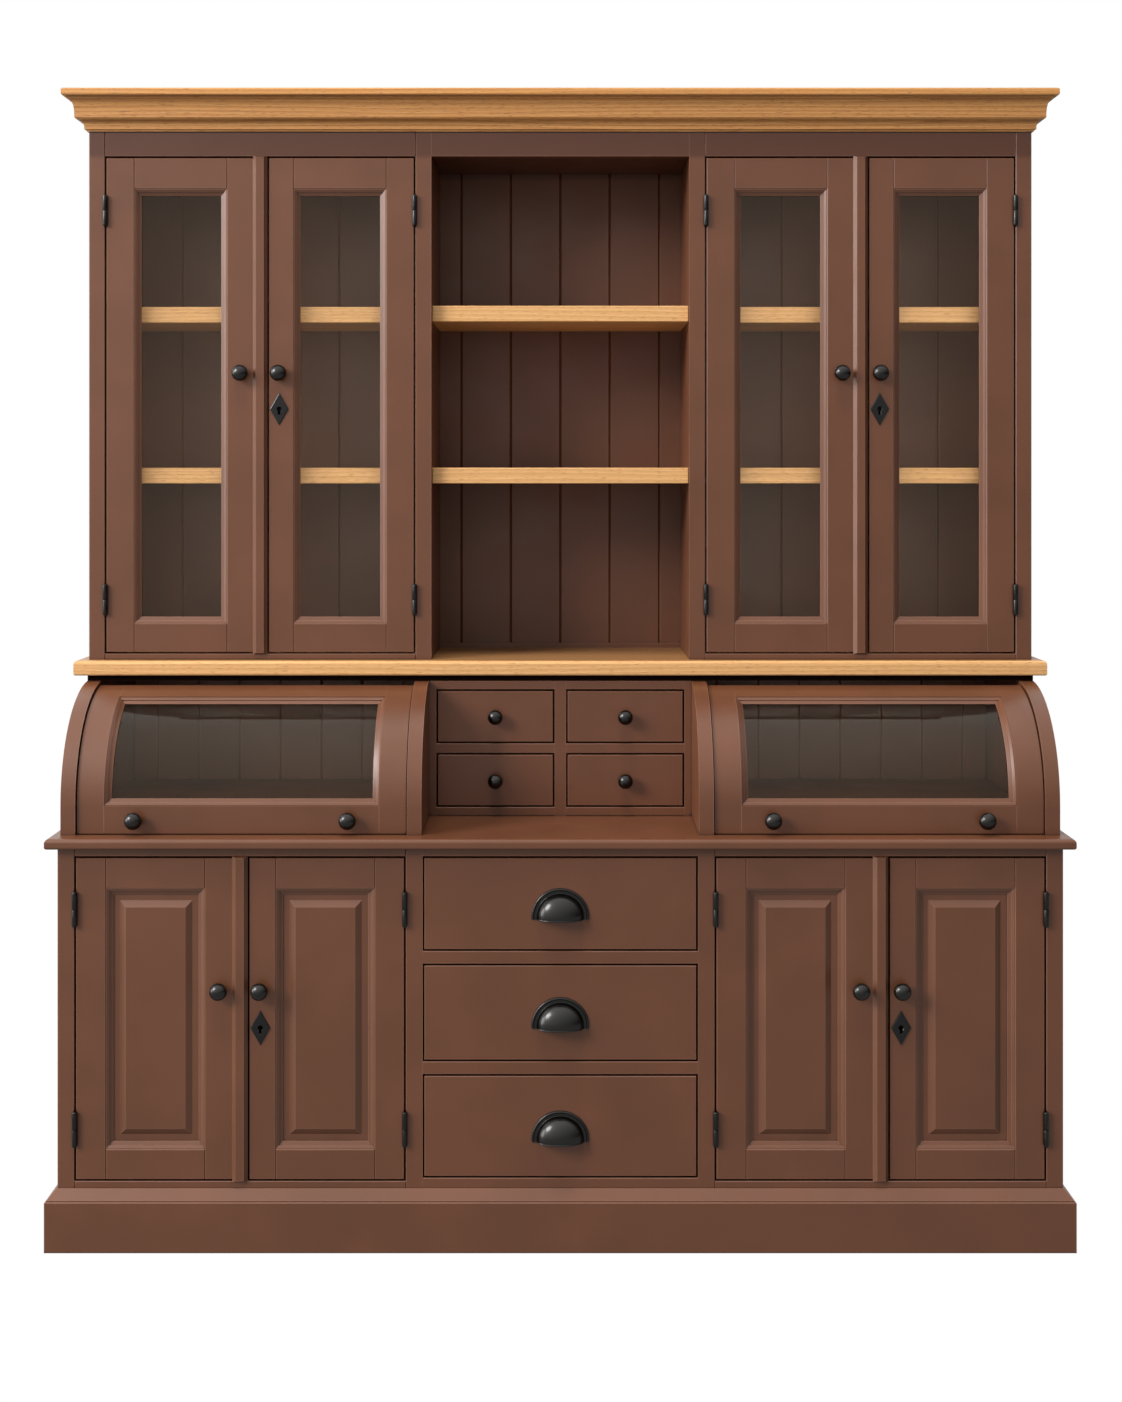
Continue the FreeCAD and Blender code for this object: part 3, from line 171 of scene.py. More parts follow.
def paint_colour(tree, place, most_dust_and_shade=1.0):
    """Brown paint with slow tone changes, edges painted paler for wear and highlight, and gaps painted dark for
    dust and shade.
    """
    tone = add_node(tree, "ShaderNodeTexNoise",
                    {"Vector": place, "Scale": per_size(TONE_SIZE), "Detail": 3.0})
    patches = add_node(tree, "ShaderNodeMapRange",
                       {"Value": tone.outputs["Fac"], "From Min": 0.35, "From Max": 0.65})
    body = add_node(tree, "ShaderNodeMix",
                    {0: patches.outputs["Result"], 6: linear(PAINT_DEEP), 7: linear(PAINT_MID)},
                    data_type="RGBA")
    height = add_node(tree, "ShaderNodeSeparateXYZ", {"Vector": place})
    # Painted shade: above this height the paint turns darker, standing in for the cornice's shadow on the frieze.
    cornice_shade_band = add_node(tree, "ShaderNodeMapRange",
                       {"Value": height.outputs["Z"], "From Min": CORNICE_SHADE_FROM * MM,
                        "From Max": CORNICE_SHADE_TO * MM})
    cornice_shaded = add_node(tree, "ShaderNodeMix",
                     {0: cornice_shade_band.outputs["Result"], 6: body.outputs[2], 7: linear(PAINT_CORNICE_SHADE)},
                     data_type="RGBA")
    room = add_node(tree, "ShaderNodeAmbientOcclusion", {"Distance": GAP_REACH * MM}, samples=8)
    open_air = add_node(tree, "ShaderNodeMapRange",
                        {"Value": room.outputs["AO"], "From Min": 0.80, "From Max": 0.95,
                         "To Max": 0.85})
    # Wear and painted highlight: every edge is made paler, partly rubbed thin paint, partly the light that eased
    # edges catch.
    rounded = add_node(tree, "ShaderNodeBevel", {"Radius": EDGE_RADIUS * MM}, samples=4)
    surface = add_node(tree, "ShaderNodeNewGeometry")
    facing = add_node(tree, "ShaderNodeVectorMath",
                      {0: rounded.outputs["Normal"], 1: surface.outputs["True Normal"]},
                      operation="DOT_PRODUCT")
    edge = add_node(tree, "ShaderNodeMapRange",
                    {"Value": facing.outputs["Value"], "From Min": 0.995, "From Max": 0.90})
    rubbed_and_highlit = add_node(tree, "ShaderNodeMath",
                      {0: edge.outputs["Result"], 1: open_air.outputs["Result"]}, operation="MULTIPLY")
    worn_and_highlit = add_node(tree, "ShaderNodeMix",
                    {0: rubbed_and_highlit.outputs["Value"], 6: cornice_shaded.outputs[2], 7: linear(PAINT_EDGE_WEAR_AND_HIGHLIGHT)},
                    data_type="RGBA")
    # Dust and painted shade: where the occlusion node finds a gap or crevice, the paint is made near black.
    dust_and_shade = add_node(tree, "ShaderNodeMapRange",
                    {"Value": room.outputs["AO"], "From Min": 0.75, "From Max": 0.25,
                     "To Max": most_dust_and_shade})
    gap_shaded = add_node(tree, "ShaderNodeMix",
                     {0: dust_and_shade.outputs["Result"], 6: worn_and_highlit.outputs[2], 7: linear(PAINT_GAP_DUST_AND_SHADE)},
                     data_type="RGBA")
    return gap_shaded.outputs[2]


def paint_bump(tree, place):
    """The roller's stipple, as a very shallow bump."""
    stipple = add_node(tree, "ShaderNodeTexNoise",
                       {"Vector": place, "Scale": per_size(STIPPLE_SIZE), "Detail": 2.0})
    bump = add_node(tree, "ShaderNodeBump",
                    {"Height": stipple.outputs["Fac"], "Strength": 0.25, "Distance": 0.1 * MM})
    return bump.outputs["Normal"]


def paint_sheen(tree, place, middle):
    """Roughness a little above and below the middle, as hands and cloths polish paint unevenly."""
    handled = add_node(tree, "ShaderNodeTexNoise",
                       {"Vector": place, "Scale": per_size(HANDLED_SIZE), "Detail": 4.0})
    spread = add_node(tree, "ShaderNodeMapRange",
                      {"Value": handled.outputs["Fac"], "From Min": 0.3, "From Max": 0.7,
                       "To Min": middle - HANDLED_SPREAD, "To Max": middle + HANDLED_SPREAD})
    return spread.outputs["Result"]


paint, tree, shader = new_finish("eggshell_paint")
spot = place_on_object(tree)
tree.links.new(paint_colour(tree, spot), shader.inputs["Base Color"])
tree.links.new(paint_bump(tree, spot), shader.inputs["Normal"])
tree.links.new(paint_sheen(tree, spot, PAINT_ROUGHNESS), shader.inputs["Roughness"])
print("paint nodes:", len(tree.nodes))

# %% Eggshell paint on the boards of the back
# The joints of the back boards get less of the painted dust and shade.
BOARD_JOINT_DUST_AND_SHADE = 0.3
board_paint, tree, shader = new_finish("brushed_eggshell_paint")
spot = place_on_object(tree)
tree.links.new(paint_colour(tree, spot, most_dust_and_shade=BOARD_JOINT_DUST_AND_SHADE), shader.inputs["Base Color"])
tree.links.new(paint_bump(tree, spot), shader.inputs["Normal"])
tree.links.new(paint_sheen(tree, spot, BRUSHED_ROUGHNESS), shader.inputs["Roughness"])
print("board paint nodes:", len(tree.nodes))

# %% [markdown]
# ## A painted shadow under the worktop
# The edge of the board under the worktop is coloured matt black as a painted shadow of the worktop, so
# the worktop seems to float. The rest of the small drawers' case has the same brown as the carcass, so one finish
# does both and changes at the height of that board.

# %% Paint with a painted black shadow under the worktop
WORKTOP_SHADOW_FROM, WORKTOP_SHADOW_BLACK = 1048.5, "#1C110D"
shadow_paint, tree, shader = new_finish("eggshell_paint_with_painted_shadow")
spot = place_on_object(tree)
height = add_node(tree, "ShaderNodeSeparateXYZ", {"Vector": spot}).outputs["Z"]
above = add_node(tree, "ShaderNodeMath", {0: height, 1: WORKTOP_SHADOW_FROM * MM}, operation="GREATER_THAN")
tree.links.new(paint_colour(tree, spot), shader.inputs["Base Color"])
tree.links.new(paint_bump(tree, spot), shader.inputs["Normal"])
tree.links.new(paint_sheen(tree, spot, PAINT_ROUGHNESS), shader.inputs["Roughness"])
# Painted shadow: above this height the board is matt black, standing in for the worktop's shadow.
painted_shadow = add_node(tree, "ShaderNodeBsdfDiffuse", {"Color": linear(WORKTOP_SHADOW_BLACK)})
shadow_edged = add_node(tree, "ShaderNodeMixShader",
                 {0: above.outputs["Value"], 1: shader.outputs["BSDF"], 2: painted_shadow.outputs["BSDF"]})
output = next(n for n in tree.nodes if n.type == "OUTPUT_MATERIAL")
tree.links.new(shadow_edged.outputs["Shader"], output.inputs["Surface"])
print("black above, in mm:", WORKTOP_SHADOW_FROM)

# %% [markdown]
# ## Oiled oak
# Worktop, shelves and cornice are planed oak with oil: honey brown, with growth rings that show as long
# streaks and flames along the board, finer fibres between them and short dark pores. All three
# run the same way, so the coordinates are squeezed along the grain before any pattern is drawn. Corners
# and crevices in the oak are painted darker as painted shade. The cornice is a darker, redder brown; its
# returns are cut from the same length, so their grain runs to the back. The worktop's top is painted
# darker than its edge, as painted shade. A drawer is painted on its front only and left bare inside.

# %% Oiled oak
HONEY_OAK = {"pale": "#F0BD82", "mid": "#DDA466", "dark": "#BA8042", "pore": "#8E5D2C", "rings": 0.6}
RED_OAK = {"pale": "#DAA060", "mid": "#CC8A48", "dark": "#8C501C", "pore": "#653A14", "rings": 0.6}
RING_SPACING = 9.0
FIBRE_WIDTH, FIBRE_LENGTH = 1.6, 45.0     # real fibres are finer; as wide as they need to be to show
PORE_WIDTH, PORE_LENGTH = 1.1, 16.0
WAVE_TURNS = 20.0
CORNER_SHADE_REACH = 6.0
OILED_ROUGHNESS = 0.42


def oak_colour(tree, along, shades):
    """Rings, fibres and pores in oak whose grain runs along the first coordinate, with painted shade in its
    corners.
    """
    log = add_node(tree, "ShaderNodeMapping",
                   {"Vector": along, "Location": (0.0, 0.31, -0.17), "Scale": (0.045, 1.0, 1.0)})
    wander = add_node(tree, "ShaderNodeTexNoise",
                      {"Vector": log.outputs["Vector"], "Scale": per_size(70.0), "Detail": 3.0})
    push = add_node(tree, "ShaderNodeVectorMath",
                    {0: wander.outputs["Color"], 1: (0.05, 0.05, 0.05)}, operation="MULTIPLY")
    bent = add_node(tree, "ShaderNodeVectorMath",
                    {0: log.outputs["Vector"], 1: push.outputs["Vector"]}, operation="ADD")
    rings = add_node(tree, "ShaderNodeTexWave",
                     {"Vector": bent.outputs["Vector"], "Distortion": 1.5, "Detail": 2.0,
                      "Scale": 2 * math.pi / WAVE_TURNS * per_size(RING_SPACING)},
                     wave_type="RINGS", rings_direction="X", wave_profile="SAW")
    early = add_node(tree, "ShaderNodeMapRange",
                     {"Value": rings.outputs["Fac"], "To Max": shades["rings"]})
    body = add_node(tree, "ShaderNodeMix",
                    {0: early.outputs["Result"], 6: linear(shades["pale"]), 7: linear(shades["dark"])},
                    data_type="RGBA")
    fibre_place = add_node(tree, "ShaderNodeMapping",
                           {"Vector": along, "Scale": (FIBRE_WIDTH / FIBRE_LENGTH, 1.0, 1.0)})
    fibres = add_node(tree, "ShaderNodeTexNoise",
                      {"Vector": fibre_place.outputs["Vector"], "Scale": per_size(FIBRE_WIDTH),
                       "Detail": 3.0})
    streak = add_node(tree, "ShaderNodeMapRange",
                      {"Value": fibres.outputs["Fac"], "From Min": 0.38, "From Max": 0.66,
                       "To Max": 0.7})
    streaked = add_node(tree, "ShaderNodeMix",
                        {0: streak.outputs["Result"], 6: body.outputs[2], 7: linear(shades["mid"])},
                        data_type="RGBA")
    pore_place = add_node(tree, "ShaderNodeMapping",
                          {"Vector": along, "Scale": (PORE_WIDTH / PORE_LENGTH, 1.0, 1.0)})
    pores = add_node(tree, "ShaderNodeTexNoise",
                     {"Vector": pore_place.outputs["Vector"], "Scale": per_size(PORE_WIDTH),
                      "Detail": 1.0})
    dashes = add_node(tree, "ShaderNodeMapRange",
                      {"Value": pores.outputs["Fac"], "From Min": 0.60, "From Max": 0.72, "To Max": 0.6})
    pored = add_node(tree, "ShaderNodeMix",
                     {0: dashes.outputs["Result"], 6: streaked.outputs[2], 7: linear(shades["pore"])},
                     data_type="RGBA")
    # Painted shade: corners and crevices found by the occlusion node are darkened towards the pore colour.
    corner = add_node(tree, "ShaderNodeAmbientOcclusion", {"Distance": CORNER_SHADE_REACH * MM}, samples=8)
    dull = add_node(tree, "ShaderNodeMapRange",
                    {"Value": corner.outputs["AO"], "From Min": 0.85, "From Max": 0.3, "To Max": 0.7})
    shaded_in_corners = add_node(tree, "ShaderNodeMix",
                        {0: dull.outputs["Result"], 6: pored.outputs[2], 7: linear(shades["pore"])},
                        data_type="RGBA")
    return shaded_in_corners.outputs[2], fibres.outputs["Fac"]


def turned_grain(tree, spot):
    """The same place with its first two coordinates exchanged, so that grain runs to the back."""
    parts = add_node(tree, "ShaderNodeSeparateXYZ", {"Vector": spot})
    across = add_node(tree, "ShaderNodeCombineXYZ",
                      {"X": parts.outputs["Y"], "Y": parts.outputs["X"], "Z": parts.outputs["Z"]})
    return across.outputs["Vector"], parts


def oil(tree, shader, colour, grain):
    """Lay a colour and a shallow grain under a thin coat of oil."""
    bump = add_node(tree, "ShaderNodeBump", {"Height": grain, "Strength": 0.3, "Distance": 0.15 * MM})
    tree.links.new(colour, shader.inputs["Base Color"])
    tree.links.new(bump.outputs["Normal"], shader.inputs["Normal"])
    shader.inputs["Roughness"].default_value = OILED_ROUGHNESS


oak, tree, shader = new_finish("oiled_oak")
spot = place_on_object(tree)
oil(tree, shader, *oak_colour(tree, spot, HONEY_OAK))
print("oak nodes:", len(tree.nodes))

# %% Oiled oak of the worktop, with painted shade on top
WORKTOP_TOP_SHADE = "#6A3F1E"
worktop_oak, tree, shader = new_finish("oiled_worktop_oak")
spot = place_on_object(tree)
colour, grain = oak_colour(tree, spot, HONEY_OAK)
# Painted shade: faces that look up are darkened, standing in for the shade of the hutch over the worktop.
surface = add_node(tree, "ShaderNodeNewGeometry")
upward = add_node(tree, "ShaderNodeSeparateXYZ", {"Vector": surface.outputs["True Normal"]})
top_in_shade = add_node(tree, "ShaderNodeMapRange",
                  {"Value": upward.outputs["Z"], "From Min": 0.9, "From Max": 0.99, "To Max": 0.7})
top_shaded = add_node(tree, "ShaderNodeMix",
                {0: top_in_shade.outputs["Result"], 6: colour, 7: linear(WORKTOP_TOP_SHADE)}, data_type="RGBA")
oil(tree, shader, top_shaded.outputs[2], grain)
print("worktop oak nodes:", len(tree.nodes))

# %% Oiled oak of the cornice
MITRE_X, MITRE_Y = 950.0, -10.0
cornice_oak, tree, shader = new_finish("oiled_red_oak")
spot = place_on_object(tree)
to_back, parts = turned_grain(tree, spot)
sideways = add_node(tree, "ShaderNodeMath", {0: parts.outputs["X"]}, operation="ABSOLUTE")
past_end = add_node(tree, "ShaderNodeMath",
                    {0: sideways.outputs["Value"], 1: MITRE_X * MM}, operation="SUBTRACT")
before_face = add_node(tree, "ShaderNodeMath",
                       {0: MITRE_Y * MM, 1: parts.outputs["Y"]}, operation="SUBTRACT")
on_return = add_node(tree, "ShaderNodeMath",
                     {0: past_end.outputs["Value"], 1: before_face.outputs["Value"]},
                     operation="GREATER_THAN")
along = add_node(tree, "ShaderNodeMix",
                 {0: on_return.outputs["Value"], 4: spot, 5: to_back}, data_type="VECTOR")
oil(tree, shader, *oak_colour(tree, along.outputs[1], RED_OAK))
print("cornice oak nodes:", len(tree.nodes))

# %% Drawers, painted on the front and bare behind
LARGE_FRONT_BACK, SMALL_FRONT_BACK = -225.0, -3.0     # where the back of a drawer's front lies


def drawer_finish(name, front_back):
    """Paint up to the back of the drawer's front, bare oak behind it."""
    finish, tree, shader = new_finish(name)
    spot = place_on_object(tree)
    to_back, parts = turned_grain(tree, spot)
    bare, grain = oak_colour(tree, to_back, HONEY_OAK)
    behind = add_node(tree, "ShaderNodeMath",
                      {0: parts.outputs["Y"], 1: (front_back + 0.05) * MM}, operation="GREATER_THAN")
    colour = add_node(tree, "ShaderNodeMix",
                      {0: behind.outputs["Value"], 6: paint_colour(tree, spot), 7: bare},
                      data_type="RGBA")
    tree.links.new(colour.outputs[2], shader.inputs["Base Color"])
    tree.links.new(paint_bump(tree, spot), shader.inputs["Normal"])
    tree.links.new(paint_sheen(tree, spot, PAINT_ROUGHNESS), shader.inputs["Roughness"])
    return finish


large_drawer = drawer_finish("painted_front_bare_oak_box", LARGE_FRONT_BACK)
small_drawer = drawer_finish("painted_front_bare_oak_small_box", SMALL_FRONT_BACK)
print("drawer finishes:", large_drawer.name, small_drawer.name)

# %% [markdown]
# ## Black iron
# Knobs, cup pulls, escutcheons and hinges are cast or forged iron under black wax. The casting skin is
# slightly uneven, so highlights are soft and a little broken. A dark metal with a fine, shallow bump
# gives that. The wax lies over it as a clear coat with small, bright highlights. Grooves and corners,
# which an Ambient Occlusion node finds, are painted near black, partly soot and old wax, partly painted shade.

# %% Black iron
CAST_SHADE, FORGED_SHADE, SOOT_AND_SHADE_BLACK = "#272625", "#1E1E1E", "#0B0A09"
RECESS_REACH = 5.0
SKIN_SIZE = 2.4


def waxed(tree, shader, shade):
    """A dark metal, painted black in its recesses for soot and shade, under a thin coat of wax."""
    # Soot and painted shade: recesses found by the occlusion node are made near black.
    recess = add_node(tree, "ShaderNodeAmbientOcclusion", {"Distance": RECESS_REACH * MM}, samples=8)
    soot_and_shade = add_node(tree, "ShaderNodeMapRange",
                    {"Value": recess.outputs["AO"], "From Min": 0.85, "From Max": 0.45})
    colour = add_node(tree, "ShaderNodeMix",
                      {0: soot_and_shade.outputs["Result"], 6: linear(shade), 7: linear(SOOT_AND_SHADE_BLACK)},
                      data_type="RGBA")
    tree.links.new(colour.outputs[2], shader.inputs["Base Color"])
    shader.inputs["Metallic"].default_value = 1.0
    shader.inputs["Coat Weight"].default_value = 0.4
    shader.inputs["Coat Roughness"].default_value = 0.16


iron, tree, shader = new_finish("black_waxed_iron")
spot = place_on_object(tree)
skin = add_node(tree, "ShaderNodeTexNoise",
                {"Vector": spot, "Scale": per_size(SKIN_SIZE), "Detail": 3.0})
dull = add_node(tree, "ShaderNodeMapRange",
                {"Value": skin.outputs["Fac"], "To Min": 0.28, "To Max": 0.35})
cast = add_node(tree, "ShaderNodeBump",
                {"Height": skin.outputs["Fac"], "Strength": 0.15, "Distance": 0.2 * MM})
waxed(tree, shader, CAST_SHADE)
tree.links.new(dull.outputs["Result"], shader.inputs["Roughness"])
tree.links.new(cast.outputs["Normal"], shader.inputs["Normal"])
print("iron nodes:", len(tree.nodes))

# %% Forged iron
HAMMER_MARK = 4.5
forged, tree, shader = new_finish("forged_black_iron")
spot = place_on_object(tree)
marks = add_node(tree, "ShaderNodeTexVoronoi",
                 {"Vector": spot, "Scale": per_size(HAMMER_MARK)}, feature="SMOOTH_F1")
scale_skin = add_node(tree, "ShaderNodeTexNoise",
                      {"Vector": spot, "Scale": per_size(SKIN_SIZE), "Detail": 4.0})
rough = add_node(tree, "ShaderNodeMapRange",
                 {"Value": scale_skin.outputs["Fac"], "To Min": 0.3, "To Max": 0.55})
dents = add_node(tree, "ShaderNodeBump",
                 {"Height": marks.outputs["Distance"], "Strength": 0.7, "Distance": 0.8 * MM})
waxed(tree, shader, FORGED_SHADE)
tree.links.new(rough.outputs["Result"], shader.inputs["Roughness"])
tree.links.new(dents.outputs["Normal"], shader.inputs["Normal"])
print("forged iron nodes:", len(tree.nodes))

# %% [markdown]
# ## Window glass
# The panes are float glass of 4 mm, flat in the hutch doors and bent in the flaps. Clear glass hides
# nothing, but it mirrors some of the room, which lays a grey veil over the dark cupboard behind it. A
# low index keeps that veil thin, and a slightly warm tint stands for the warm walls that it mirrors.
# A cloth never wipes it quite even, so the tint of the glass is a shade deeper in broad patches.

# %% Window glass
PANE_WIPED, PANE_FILMED, WIPE_SIZE = "#F7F4EE", "#F0EEE7", 130.0
THIN_VEIL, WARM_WALLS = 1.29, "#FFF0DC"
glass, tree, shader = new_finish("wiped_float_glass")
spot = place_on_object(tree)
wiped = add_node(tree, "ShaderNodeTexNoise",
                 {"Vector": spot, "Scale": per_size(WIPE_SIZE), "Detail": 3.0})
film = add_node(tree, "ShaderNodeMix",
                {0: wiped.outputs["Fac"], 6: linear(PANE_WIPED), 7: linear(PANE_FILMED)},
                data_type="RGBA")
tree.links.new(film.outputs[2], shader.inputs["Base Color"])
shader.inputs["Transmission Weight"].default_value = 1.0
shader.inputs["Roughness"].default_value = 0.0
shader.inputs["IOR"].default_value = THIN_VEIL
shader.inputs["Specular Tint"].default_value = linear(WARM_WALLS)
print("glass nodes:", len(tree.nodes))

# %% [markdown]
# ## A finish for every solid
# The record of the part says what each solid is made of. A few solids were finished in a way of their
# own: cornice, worktop, drawers, the boards of the back and the case of the small drawers.

# %% Give every solid its finish
finishes = {"brown_paint": paint, "oak": oak, "black_iron": iron, "clear_glass": glass}
own_finishes = {"oak_cornice": cornice_oak, "oak_worktop": worktop_oak, "small_drawer_case": shadow_paint,
                "_back_boards": board_paint, "_large_drawer": large_drawer, "_small_drawer": small_drawer}
for subpart in record["subparts"]:
    name, slot = subpart["node"], subpart["material_slot"]
    finish = finishes[slot]
    for ending, own_finish in own_finishes.items():
        if name.endswith(ending):
            finish = own_finish
    solid = nodes[name]
    solid.data.materials.clear()
    solid.data.materials.append(finish)
print("dressed solids:", len(record["subparts"]))

# %% [markdown]
# ## Modelling helpers
# Every handle below starts as a circle, a cube or a cylinder and is shaped in edit mode. Tools act on
# all that is selected, and loading has left the solids selected, so each step first lets go of
# everything. Finished pieces keep their place in their mesh and have outward faces.

# %% Helpers for shaping
import bmesh


def fresh():
    """Leave edit mode and select nothing."""
    if bpy.context.object and bpy.context.object.mode != "OBJECT":
        bpy.ops.object.mode_set(mode="OBJECT")
    bpy.ops.object.select_all(action="DESELECT")


def take(piece):
    """Make one piece the only selected and active one."""
    fresh()
    piece.select_set(True)
    bpy.context.view_layer.objects.active = piece


def pick(piece, kind, test):
    """In edit mode, select the edges or faces whose corners all pass a test."""
    bpy.ops.object.mode_set(mode="EDIT")
    bpy.ops.mesh.select_mode(type=kind)
    bpy.ops.mesh.select_all(action="DESELECT")
    shape = bmesh.from_edit_mesh(piece.data)
    for item in {"EDGE": shape.edges, "FACE": shape.faces}[kind]:
        if all(test(corner.co) for corner in item.verts):
            item.select_set(True)
    bmesh.update_edit_mesh(piece.data)


def on_level(value, level):
    """True if a corner's coordinate is at this many millimetres."""
    return abs(value - level * MM) < 0.01 * MM


def place_applied():
    bpy.ops.object.transform_apply(location=True, rotation=True, scale=True)
    return bpy.context.object


def settle(piece, smooth_below=35):
    """Merge doubles, turn faces outwards and smooth what isn't a real edge."""
    take(piece)
    place_applied()
    bpy.ops.object.mode_set(mode="EDIT")
    bpy.ops.mesh.select_all(action="SELECT")
    bpy.ops.mesh.remove_doubles(threshold=0.001 * MM)
    bpy.ops.mesh.normals_make_consistent(inside=False)
    bpy.ops.object.mode_set(mode="OBJECT")
    bpy.ops.object.shade_smooth_by_angle(angle=math.radians(smooth_below))
    return piece


def copy_of(model, place, scale=(1, 1, 1)):
    """A copy with a mesh of its own, put in its place."""
    take(model)
    bpy.ops.object.duplicate(linked=False)
    copy = bpy.context.object
    copy.location, copy.scale = place, scale
    return place_applied()


def joined(pieces, name):
    take(pieces[0])
    for piece in pieces:
        piece.select_set(True)
    bpy.ops.object.join()
    whole = bpy.context.object
    whole.name = whole.data.name = name
    return settle(whole)


def hand_over(piece, body, replaced):
    """Let a finished piece stand for a solid and move with its body."""
    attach(piece, body)
    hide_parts(replaced)


print("helpers ready")

# %% [markdown]
# ## Knobs
# The knobs are small iron castings, turned on a lathe: a round foot, a narrow neck and a domed head. A
# circle that is pushed out ring by ring, and made wider or narrower at each ring, follows the
# lathe's own way of working. The head is an ellipse, so its rings come from a formula.

# %% Turn one knob
KNOB_RADIUS, SMALL_KNOB_RADIUS, KNOB_LENGTH = 16.5, 15.0, 30.0
KNOB_FOOT, FOOT_RISE, FOOT_ROUND = 10.2, 2.2, 0.8
KNOB_NECK, NECK_OUT = 6.9, 6.0
HEAD_START, HEAD_WIDEST = 8.6, 17.0
HEAD_RINGS, CROWN_RINGS, CROWN_FLAT = 9, 12, 0.6
KNOB_SIDES = 48


def knob_rings():
    """Radius and distance from the face for each ring, from the foot to the crown."""
    rings = [(KNOB_FOOT, 0.0), (KNOB_FOOT, FOOT_RISE), (KNOB_FOOT - FOOT_ROUND, FOOT_RISE + FOOT_ROUND),
             (KNOB_NECK, NECK_OUT), (KNOB_NECK, HEAD_START)]
    under = HEAD_WIDEST - HEAD_START
    over = KNOB_LENGTH - HEAD_WIDEST
    for i in range(1, HEAD_RINGS):
        turn = math.radians(90) * i / HEAD_RINGS
        swell = (KNOB_RADIUS - KNOB_NECK) * math.sin(turn)
        rings.append((KNOB_NECK + swell, HEAD_WIDEST - under * math.cos(turn)))
    for i in range(CROWN_RINGS):
        turn = math.radians(90) * i / CROWN_RINGS
        rings.append((KNOB_RADIUS * math.cos(turn), HEAD_WIDEST + over * math.sin(turn)))
    return rings + [(CROWN_FLAT, KNOB_LENGTH)]


def turned(rings, sides):
    """Push a circle out along the rings, towards the viewer."""
    fresh()
    radius, out = rings[0]
    bpy.ops.mesh.primitive_circle_add(vertices=sides, radius=radius * MM, fill_type="NGON",
                                      location=(0, -out * MM, 0), rotation=(math.radians(90), 0, 0))
    place_applied()
    bpy.ops.object.mode_set(mode="EDIT")
    for next_radius, next_out in rings[1:]:
        bpy.ops.mesh.extrude_region_move(TRANSFORM_OT_translate={"value": (0, (out - next_out) * MM, 0)})
        ratio = next_radius / radius
        bpy.ops.transform.resize(value=(ratio, 1, ratio), center_override=(0, -next_out * MM, 0))
        radius, out = next_radius, next_out
    bpy.ops.object.mode_set(mode="OBJECT")
    return settle(bpy.context.object)


knob_model = turned(knob_rings(), KNOB_SIDES)
knob_model.data.materials.append(iron)
print("knob size:", [round(v / MM, 1) for v in knob_model.dimensions])

# %% Put the knobs on drawers and flaps
for drawer in ("lower_left", "lower_right", "upper_left", "upper_right"):
    node = drawer + "_small_drawer_knob"
    low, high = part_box(node)
    slim = SMALL_KNOB_RADIUS / KNOB_RADIUS
    knob = copy_of(knob_model, ((low.x + high.x) / 2, high.y, (low.z + high.z) / 2), (slim, 1, slim))
    knob.name = knob.data.name = drawer + "_drawer_turned_knob"
    hand_over(settle(knob), drawer + "_small_drawer", node)

for side in ("left", "right"):
    node = side + "_flap_knobs"
    low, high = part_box(node)
    pair = [copy_of(knob_model, (x, high.y, (low.z + high.z) / 2))
            for x in (low.x + KNOB_RADIUS * MM, high.x - KNOB_RADIUS * MM)]
    hand_over(joined(pair, side + "_flap_turned_knobs"), side + "_flap", node)
print("knobs on drawers: 4, on flaps: 4")

# %% [markdown]
# ## Cup pulls
# A cup pull is a cast half dome that fingers reach into from below. Its flange has a bead round the
# outside, then a groove and a second bead at the foot of the dome, and a rolled lip along the
# bottom. Its section is drawn as one closed line, spun half a turn and drawn down to the lip, and the
# outer bead gets narrower on the way, so that it ends in a round tip.

# %% Draw the section of the cup pull
CUP_RIM_RADIUS, CUP_LENGTH, CUP_SKIRT = 54.5, 27.0, 4.5
FLANGE, WALL = 1.2, 2.5
RIM_BEAD, FOOT_BEAD, GROOVE = 2.5, 1.0, 4.0
RIM_ROUND = 2.5
BEAD_STEPS, DOME_STEPS = 6, 14
FULLNESS = 0.97


def bead(middle, radius):
    """A half-round bead on the flange, from its outer to its inner foot."""
    turns = [math.pi * i / BEAD_STEPS for i in range(BEAD_STEPS + 1)]
    return [(middle + radius * math.cos(t), FLANGE + radius * math.sin(t)) for t in turns]


def dome(radius, rise):
    """A quarter of a full-bodied ellipse, from its foot to its crown."""
    turns = [math.radians(90) * i / DOME_STEPS for i in range(DOME_STEPS)]
    curve = [(radius * math.cos(t) ** FULLNESS, FLANGE + rise * math.sin(t) ** FULLNESS) for t in turns]
    return curve + [(0.0, FLANGE + rise)]


rim_middle = CUP_RIM_RADIUS - RIM_BEAD
foot_middle = rim_middle - RIM_BEAD - GROOVE - FOOT_BEAD
dome_radius = foot_middle - FOOT_BEAD
section = [(dome_radius - WALL, 0.0), (CUP_RIM_RADIUS, 0.0)] + bead(rim_middle, RIM_BEAD)
section += bead(foot_middle, FOOT_BEAD) + dome(dome_radius, CUP_LENGTH - FLANGE)[1:]
section += dome(dome_radius - WALL, CUP_LENGTH - FLANGE - WALL)[::-1]
print("section points:", len(section), "dome radius:", round(dome_radius, 1))

